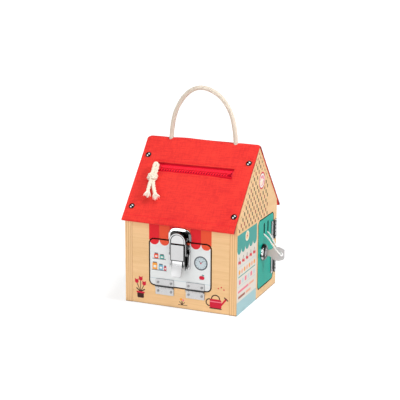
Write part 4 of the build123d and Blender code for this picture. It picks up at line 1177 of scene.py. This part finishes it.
def clothPlace(x, s):
    # A point of the sheet from its flat place: s runs from the front hem over the ridge to the rear
    side = -1 if s < 0 else 1
    flat = abs(s)
    eave, fold = roof["eaveDrop"], canvas["hemDrop"] / 2
    straight = eave - fold
    out, drop = canvas["middle"], flat
    if flat > straight:
        turned = (flat - straight) / fold
        if turned < math.pi:
            drop = straight + fold * math.sin(turned)
            out = canvas["middle"] - fold * (1 - math.cos(turned))
        else:
            drop = straight - (flat - straight - math.pi * fold)
            out = canvas["middle"] - 2 * fold
    if flat < straight:
        inner = min(roof["halfWidth"] - abs(x), canvas["rippleEdge"]) / canvas["rippleEdge"]
        calm = (0.35 + 0.65 * inner) * min(1, flat / canvas["rippleRidge"])
        out += canvas["ripple"] * ripple(x, s) * calm + tackDent(x, flat, side)
    if side < 0:
        slot = canvas["slot"]
        past = max(slot["x0"] - x, x - slot["x1"], 0.0)
        edge = math.hypot(past, max(abs(flat - slot["drop"]) - slot["half"], 0.0))
        if edge < slot["reach"]:
            out -= slot["sink"] * (1 - edge / slot["reach"]) ** 2
        # The front hem was tacked a little askew
        share = flat / eave
        drop -= canvas["leftRise"] * share ** 2 * (1 - x / roof["halfWidth"]) / 2
        x -= canvas["rightTuck"] * share * max(0.0, x / roof["halfWidth"]) ** 3
    spread = out * math.sin(slopeAngle) * min(1.0, flat / canvas["ridgeFlat"])
    y = side * (drop * math.cos(slopeAngle) + spread)
    rounded = math.hypot(drop, canvas["ridgeRound"])
    z = roof["ridge"] - rounded * math.sin(slopeAngle) + out * math.cos(slopeAngle)
    if flat < canvas["ridgeReach"]:
        z += (1 - flat / canvas["ridgeReach"]) ** 2 * ridgeLift(x)
    return Vector((x, y, z)) * mm


def saggedPlace(x, s):
    # The slot's lower edge sags at the right end, and the cloth below moves with it
    slot = canvas["slot"]
    below = -s - slot["drop"] - slot["half"]
    if slot["sagFrom"] <= x <= slot["x1"] + 1 and below >= -0.01:
        ease = (x - slot["sagFrom"]) / (slot["x1"] - slot["sagFrom"])
        s -= slot["rightSag"] * ease ** 2 * max(0.0, 1 - below / slot["sagReach"])
    return clothPlace(x, s)


def flatSheet(name, xs, ys):
    # A grid with these lines, its flat places in the UV map
    deselectAll()
    bpy.ops.mesh.primitive_grid_add(x_subdivisions=len(xs) - 1, y_subdivisions=len(ys) - 1, size=2)
    sheet = bpy.context.object
    sheet.name = sheet.data.name = name
    flat = []
    for vertex in sheet.data.vertices:
        i = round((vertex.co.x + 1) / 2 * (len(xs) - 1))
        j = round((vertex.co.y + 1) / 2 * (len(ys) - 1))
        flat.append((xs[i], ys[j]))
    layer = sheet.data.uv_layers[0]
    layer.name = "flat"
    for loop, spot in zip(sheet.data.loops, layer.data):
        x, y = flat[loop.vertex_index]
        spot.uv = (x * mm, y * mm)
    return sheet, flat


def makeRoof():
    slot, step = canvas["slot"], canvas["step"]
    fold = canvas["hemDrop"] / 2
    straight = roof["eaveDrop"] - fold
    end = roof["eaveDrop"] + canvas["hem"] + math.pi * fold - fold
    xs = ticks([-roof["halfWidth"], slot["x0"], slot["x1"], roof["halfWidth"]], step)
    turned = straight + math.pi * fold
    top, low = slot["drop"] - slot["half"], slot["drop"] + slot["half"]
    down = ticks([0.0, canvas["ridgeFlat"]], canvas["ridgeStep"])
    down += ticks([canvas["ridgeFlat"], top, low, straight], step)[1:]
    down += ticks([straight, turned], canvas["foldStep"])[1:] + ticks([turned, end], step)[1:]
    sheet, flat = flatSheet("roofCloth", xs, [-d for d in reversed(down)] + down[1:])
    for vertex, spot in zip(sheet.data.vertices, flat):
        vertex.co = saggedPlace(*spot)

    bpy.ops.object.mode_set(mode="EDIT")
    bpy.ops.mesh.select_all(action="DESELECT")
    bpy.ops.object.mode_set(mode="OBJECT")
    for face in sheet.data.polygons:
        x = sum(flat[v][0] for v in face.vertices) / 4
        s = sum(flat[v][1] for v in face.vertices) / 4
        face.select = slot["x0"] < x < slot["x1"] and abs(-s - slot["drop"]) < slot["half"]
    bpy.ops.object.mode_set(mode="EDIT")
    bpy.ops.mesh.delete(type="FACE")
    bpy.ops.object.mode_set(mode="OBJECT")
    thicken(sheet, canvas["thick"])

    cutters = []
    for x in canvas["holes"]:
        deselectAll()
        bpy.ops.mesh.primitive_cylinder_add(
            vertices=32, radius=canvas["holeRadius"], depth=canvas["cutDepth"],
            location=(x * mm, 0, roof["ridge"] * mm),
        )
        cutters.append(bpy.context.object)
        cut = sheet.modifiers.new("ropeHole", "BOOLEAN")
        cut.object = cutters[-1]
        cut.operation = "DIFFERENCE"
        cut.solver = "EXACT"
    applyAll(sheet)
    for cutter in cutters:
        bpy.data.objects.remove(cutter)
    smooth(sheet, 50)
    carry(sheet, "roof", "house", "red_canvas", "roof_canvas")


makeRoof()


# Seams: a row of stitches round the zip's slot and along each hem
seams = {
    "pitch": 3.2, "length": 2.3, "thread": 0.2 * mm, "sides": 5, "margin": 2.6, "inset": 1.5, "hemUp": 8.4,
    "hemEnd": 2.5, "out": 0.64, "high": 0.18, "shares": (0.0, 0.18, 0.5, 0.82, 1.0),
}


def stitchRow(start, end):
    # Stitches from one flat place of the cloth to another
    lines = []
    run = Vector(end) - Vector(start)
    side = -1 if start[1] < 0 else 1
    up = Vector((0, side * math.sin(slopeAngle), math.cos(slopeAngle)))
    count = max(1, round(run.length / seams["pitch"]))
    for i in range(count):
        spots = []
        for share in seams["shares"]:
            at = Vector(start) + run * ((i + 0.5 + (share - 0.5) * seams["length"] / seams["pitch"]) / count)
            out = seams["out"] + seams["high"] * math.sin(math.pi * share)
            spots.append(saggedPlace(at.x, at.y) + up * out * mm)
        lines.append(spots)
    return lines


def makeSeams():
    slot, inset = canvas["slot"], seams["inset"]
    x0, x1 = slot["x0"] - seams["margin"], slot["x1"] + seams["margin"]
    top = -slot["drop"] + slot["half"] + seams["margin"]
    low = -slot["drop"] - slot["half"] - seams["margin"]
    hem = roof["eaveDrop"] - seams["hemUp"]
    reach = roof["halfWidth"] - seams["hemEnd"]
    rows = [((x0, top), (x1, top)), ((x0, low), (x1, low))]
    rows += [((x, top - inset), (x, low + inset)) for x in (x0, x1)]
    rows += [((-reach, s), (reach, s)) for s in (-hem, hem)]
    lines = [stitch for row in rows for stitch in stitchRow(*row)]
    thread = tubes("roofStitches", lines, seams["thread"], seams["sides"])
    carry(thread, "tape", "house", "red_canvas")
    print("stitches:", len(lines))


makeSeams()


# Zip tapes behind the slot, level at the teeth and sunk towards the seam
tapes = {
    "halfLength": 60.5, "near": 3.5, "wide": 8.0, "thick": 0.5 * mm, "steps": (60, 12), "level": -0.32,
    "sink": 1.6, "sinkFrom": 3.9, "sinkOver": 2.4, "wave": 0.12, "waveTurn": 0.19,
}


def makeTapes():
    pieces = []
    long, wide = tapes["steps"]
    for side in (-1, 1):
        xs = [tapes["halfLength"] * (2 * i / long - 1) for i in range(long + 1)]
        ys = [side * (tapes["near"] + tapes["wide"] * j / wide) for j in range(wide + 1)]
        tape, flat = flatSheet("zipTapes", xs, ys)
        for vertex, (x, y) in zip(tape.data.vertices, flat):
            away = min(1.0, max(0.0, (abs(y) - tapes["sinkFrom"]) / tapes["sinkOver"]))
            dip = tapes["wave"] * math.sin(x * tapes["waveTurn"] + side)
            dip -= tapes["sink"] * away * away * (3 - 2 * away)
            vertex.co = onSlope(roof["zipMiddle"] + x, roof["zipDrop"] - y, tapes["level"] + dip)
        thicken(tape, tapes["thick"])
        pieces.append(tape)
    both = joined(pieces, "zipTapes")
    smooth(both, 50)
    carry(both, "tape", "house", "zip_tape", "zip_tapes")
    print("zip tapes made")


makeTapes()


# Zip teeth: one moulded tooth for each row, copied along it, on cores that close the gaps; the dark core
# colour is painted shade between the teeth
teeth = {
    "halfLength": 53.1, "pitch": 3.6, "long": {-1: 1.9, 1: 3.5}, "taper": {-1: 0.75, 1: 1.0},
    "near": 0.27, "far": 3.5, "high": 2.2, "middle": -0.3, "round": 0.5, "slant": 0.5, "shift": 1.65,
    "core": 0.8, "coreInset": 0.35,
    "cores": {-1: [("zipPlastic", 0.0, 0.25), ("zipShade", 0.25, 1.0)], 1: [("zipShade", 0.0, 1.0)]},
}


def block(*size):
    deselectAll()
    bpy.ops.mesh.primitive_cube_add(size=1)
    piece = bpy.context.object
    piece.scale = size
    bpy.ops.object.transform_apply(scale=True)
    return piece


def layOnZip(piece, along, up):
    for vertex in piece.data.vertices:
        x, y, z = vertex.co
        vertex.co = onSlope(roof["zipMiddle"] + along + x, roof["zipDrop"] - up - y, teeth["middle"] + z)


def makeTeeth():
    rows = []
    near, far = teeth["near"], teeth["far"]
    count = int((2 * teeth["halfLength"] - teeth["pitch"]) / teeth["pitch"])
    for side in (-1, 1):
        first = -(count - 1) * teeth["pitch"] / 2 + side * teeth["shift"]
        tooth = block(teeth["long"][side], far - near, teeth["high"])
        for vertex in tooth.data.vertices:
            vertex.co.x *= teeth["taper"][side] if vertex.co.y * side < 0 else 1.0
            vertex.co.x += teeth["slant"] * vertex.co.y
        edge = tooth.modifiers.new("rounding", "BEVEL")
        edge.width = teeth["round"]
        edge.segments = 3
        applyAll(tooth)
        dress(tooth, "zipPlastic")
        for i in range(count):
            copy = bpy.data.objects.new("tooth", tooth.data.copy())
            bpy.context.scene.collection.objects.link(copy)
            layOnZip(copy, first + i * teeth["pitch"], side * (near + far) / 2)
            rows.append(copy)
        bpy.data.objects.remove(tooth)
        width = far - near - 2 * teeth["coreInset"]
        for look, start, stop in teeth["cores"][side]:
            core = block(2 * teeth["halfLength"], width * (stop - start), teeth["core"])
            dress(core, look)
            layOnZip(core, 0.0, side * (near + teeth["coreInset"] + width * (start + stop) / 2))
            rows.append(core)
    chain = joined(rows, "zipTeeth")
    turnOutwards(chain)
    smooth(chain, 40)
    carry(chain, None, "house", "zip_plastic", "zip_teeth")
    print("zip teeth and cores:", len(rows))


makeTeeth()


# Studio: pale floor, white surround, soft lights, dark cards that only the metal sees
studio = {
    "surround": 0.29, "aim": (0, 0, 0.1),
    "floor": {
        "size": 40, "up": -0.0002, "lit": 0.86, "seen": 0.3,
        "glow": 0.78, "fadeFrom": 300.0, "fadeOver": 500.0,
    },
    "lamps": {
        "key": {"place": (1.3, -0.1, 1.1), "size": 0.3, "power": 15.8},
        "top": {"place": (0.35, -0.14, 1.9), "size": 0.22, "power": 14.2},
        "fill": {"place": (-1.2, -1.6, 0.9), "size": 1.4, "power": 13.6},
        "front": {"place": (0.35, -1.95, 0.8), "size": 0.9, "power": 7.6},
    },
    "cards": [
        {"place": (0.75, -0.5, 0.004), "turn": (0, 0, 0), "size": (0.6, 0.8)},
        {"place": (-0.65, 0.05, 0.8), "turn": (0, 0, 0), "size": (2.0, 1.7)},
        {"place": (0.75, -1.9, 0.6), "turn": (90, 0, 0), "size": (2.1, 0.7)},
        {"place": (0.8, 0.9, 0.6), "turn": (90, 0, -45), "size": (0.8, 0.9)},
        {"place": (-0.9, -0.35, 0.3), "turn": (90, 0, 70), "size": (0.4, 0.6)},
    ],
}


def makeSurround():
    world = bpy.data.worlds.new("studio")
    bpy.context.scene.world = world
    world.use_nodes = True
    air = NodeTree(world.node_tree)
    seen = air.seenBy("Is Camera Ray", "Is Glossy Ray", "Is Transmission Ray")
    ground = air.tree.nodes["Background"]
    air.plug(ground.inputs["Color"], (1, 1, 1, 1))
    air.plug(ground.inputs["Strength"], seen * (1 - studio["surround"]) + studio["surround"])


def makeFloor():
    size = studio["floor"]
    deselectAll()
    bpy.ops.mesh.primitive_plane_add(size=size["size"], location=(0, 0, size["up"]))
    floor = bpy.context.object
    floor.name = "floor"
    finish = Finish("paleFloor", **{"Roughness": 0.9, "Specular IOR Level": 0.1})
    seen = finish.seenBy("Is Camera Ray", "Is Glossy Ray")
    away = finish.vector("LENGTH", finish.spot, out=1)
    fade = ((away - size["fadeFrom"]) / size["fadeOver"]).clamped()
    full, part = ((size[key],) * 3 + (1.0,) for key in ("lit", "seen"))
    glow = seen * (size["glow"] + fade * (1 - size["glow"]))
    finish.set({"Base Color": finish.mix(seen, full, part)})
    finish.set({"Emission Color": finish.grey(glow), "Emission Strength": 1.0})
    floor.data.materials.append(finish.material)


def makeLamps():
    for name, lamp in studio["lamps"].items():
        aim = (Vector(studio["aim"]) - Vector(lamp["place"])).to_track_quat("-Z", "Y").to_euler()
        deselectAll()
        bpy.ops.object.light_add(type="AREA", location=lamp["place"], rotation=aim)
        light = bpy.context.object
        light.name = name + "Light"
        light.data.size = lamp["size"]
        light.data.energy = lamp["power"]


def makeCards():
    dark = Finish("darkCard", **{"Base Color": (0.01, 0.01, 0.01, 1.0), "Roughness": 1.0})
    for i, card in enumerate(studio["cards"]):
        deselectAll()
        turn = [math.radians(angle) for angle in card["turn"]]
        bpy.ops.mesh.primitive_plane_add(size=1, location=card["place"], rotation=turn)
        flag = bpy.context.object
        flag.name = "darkCard" + str(i)
        flag.scale = (*card["size"], 1)
        flag.data.materials.append(dark.material)
        flag.visible_camera = flag.visible_diffuse = flag.visible_shadow = False


makeSurround()
makeFloor()
makeLamps()
makeCards()
print("studio set")


print("done")
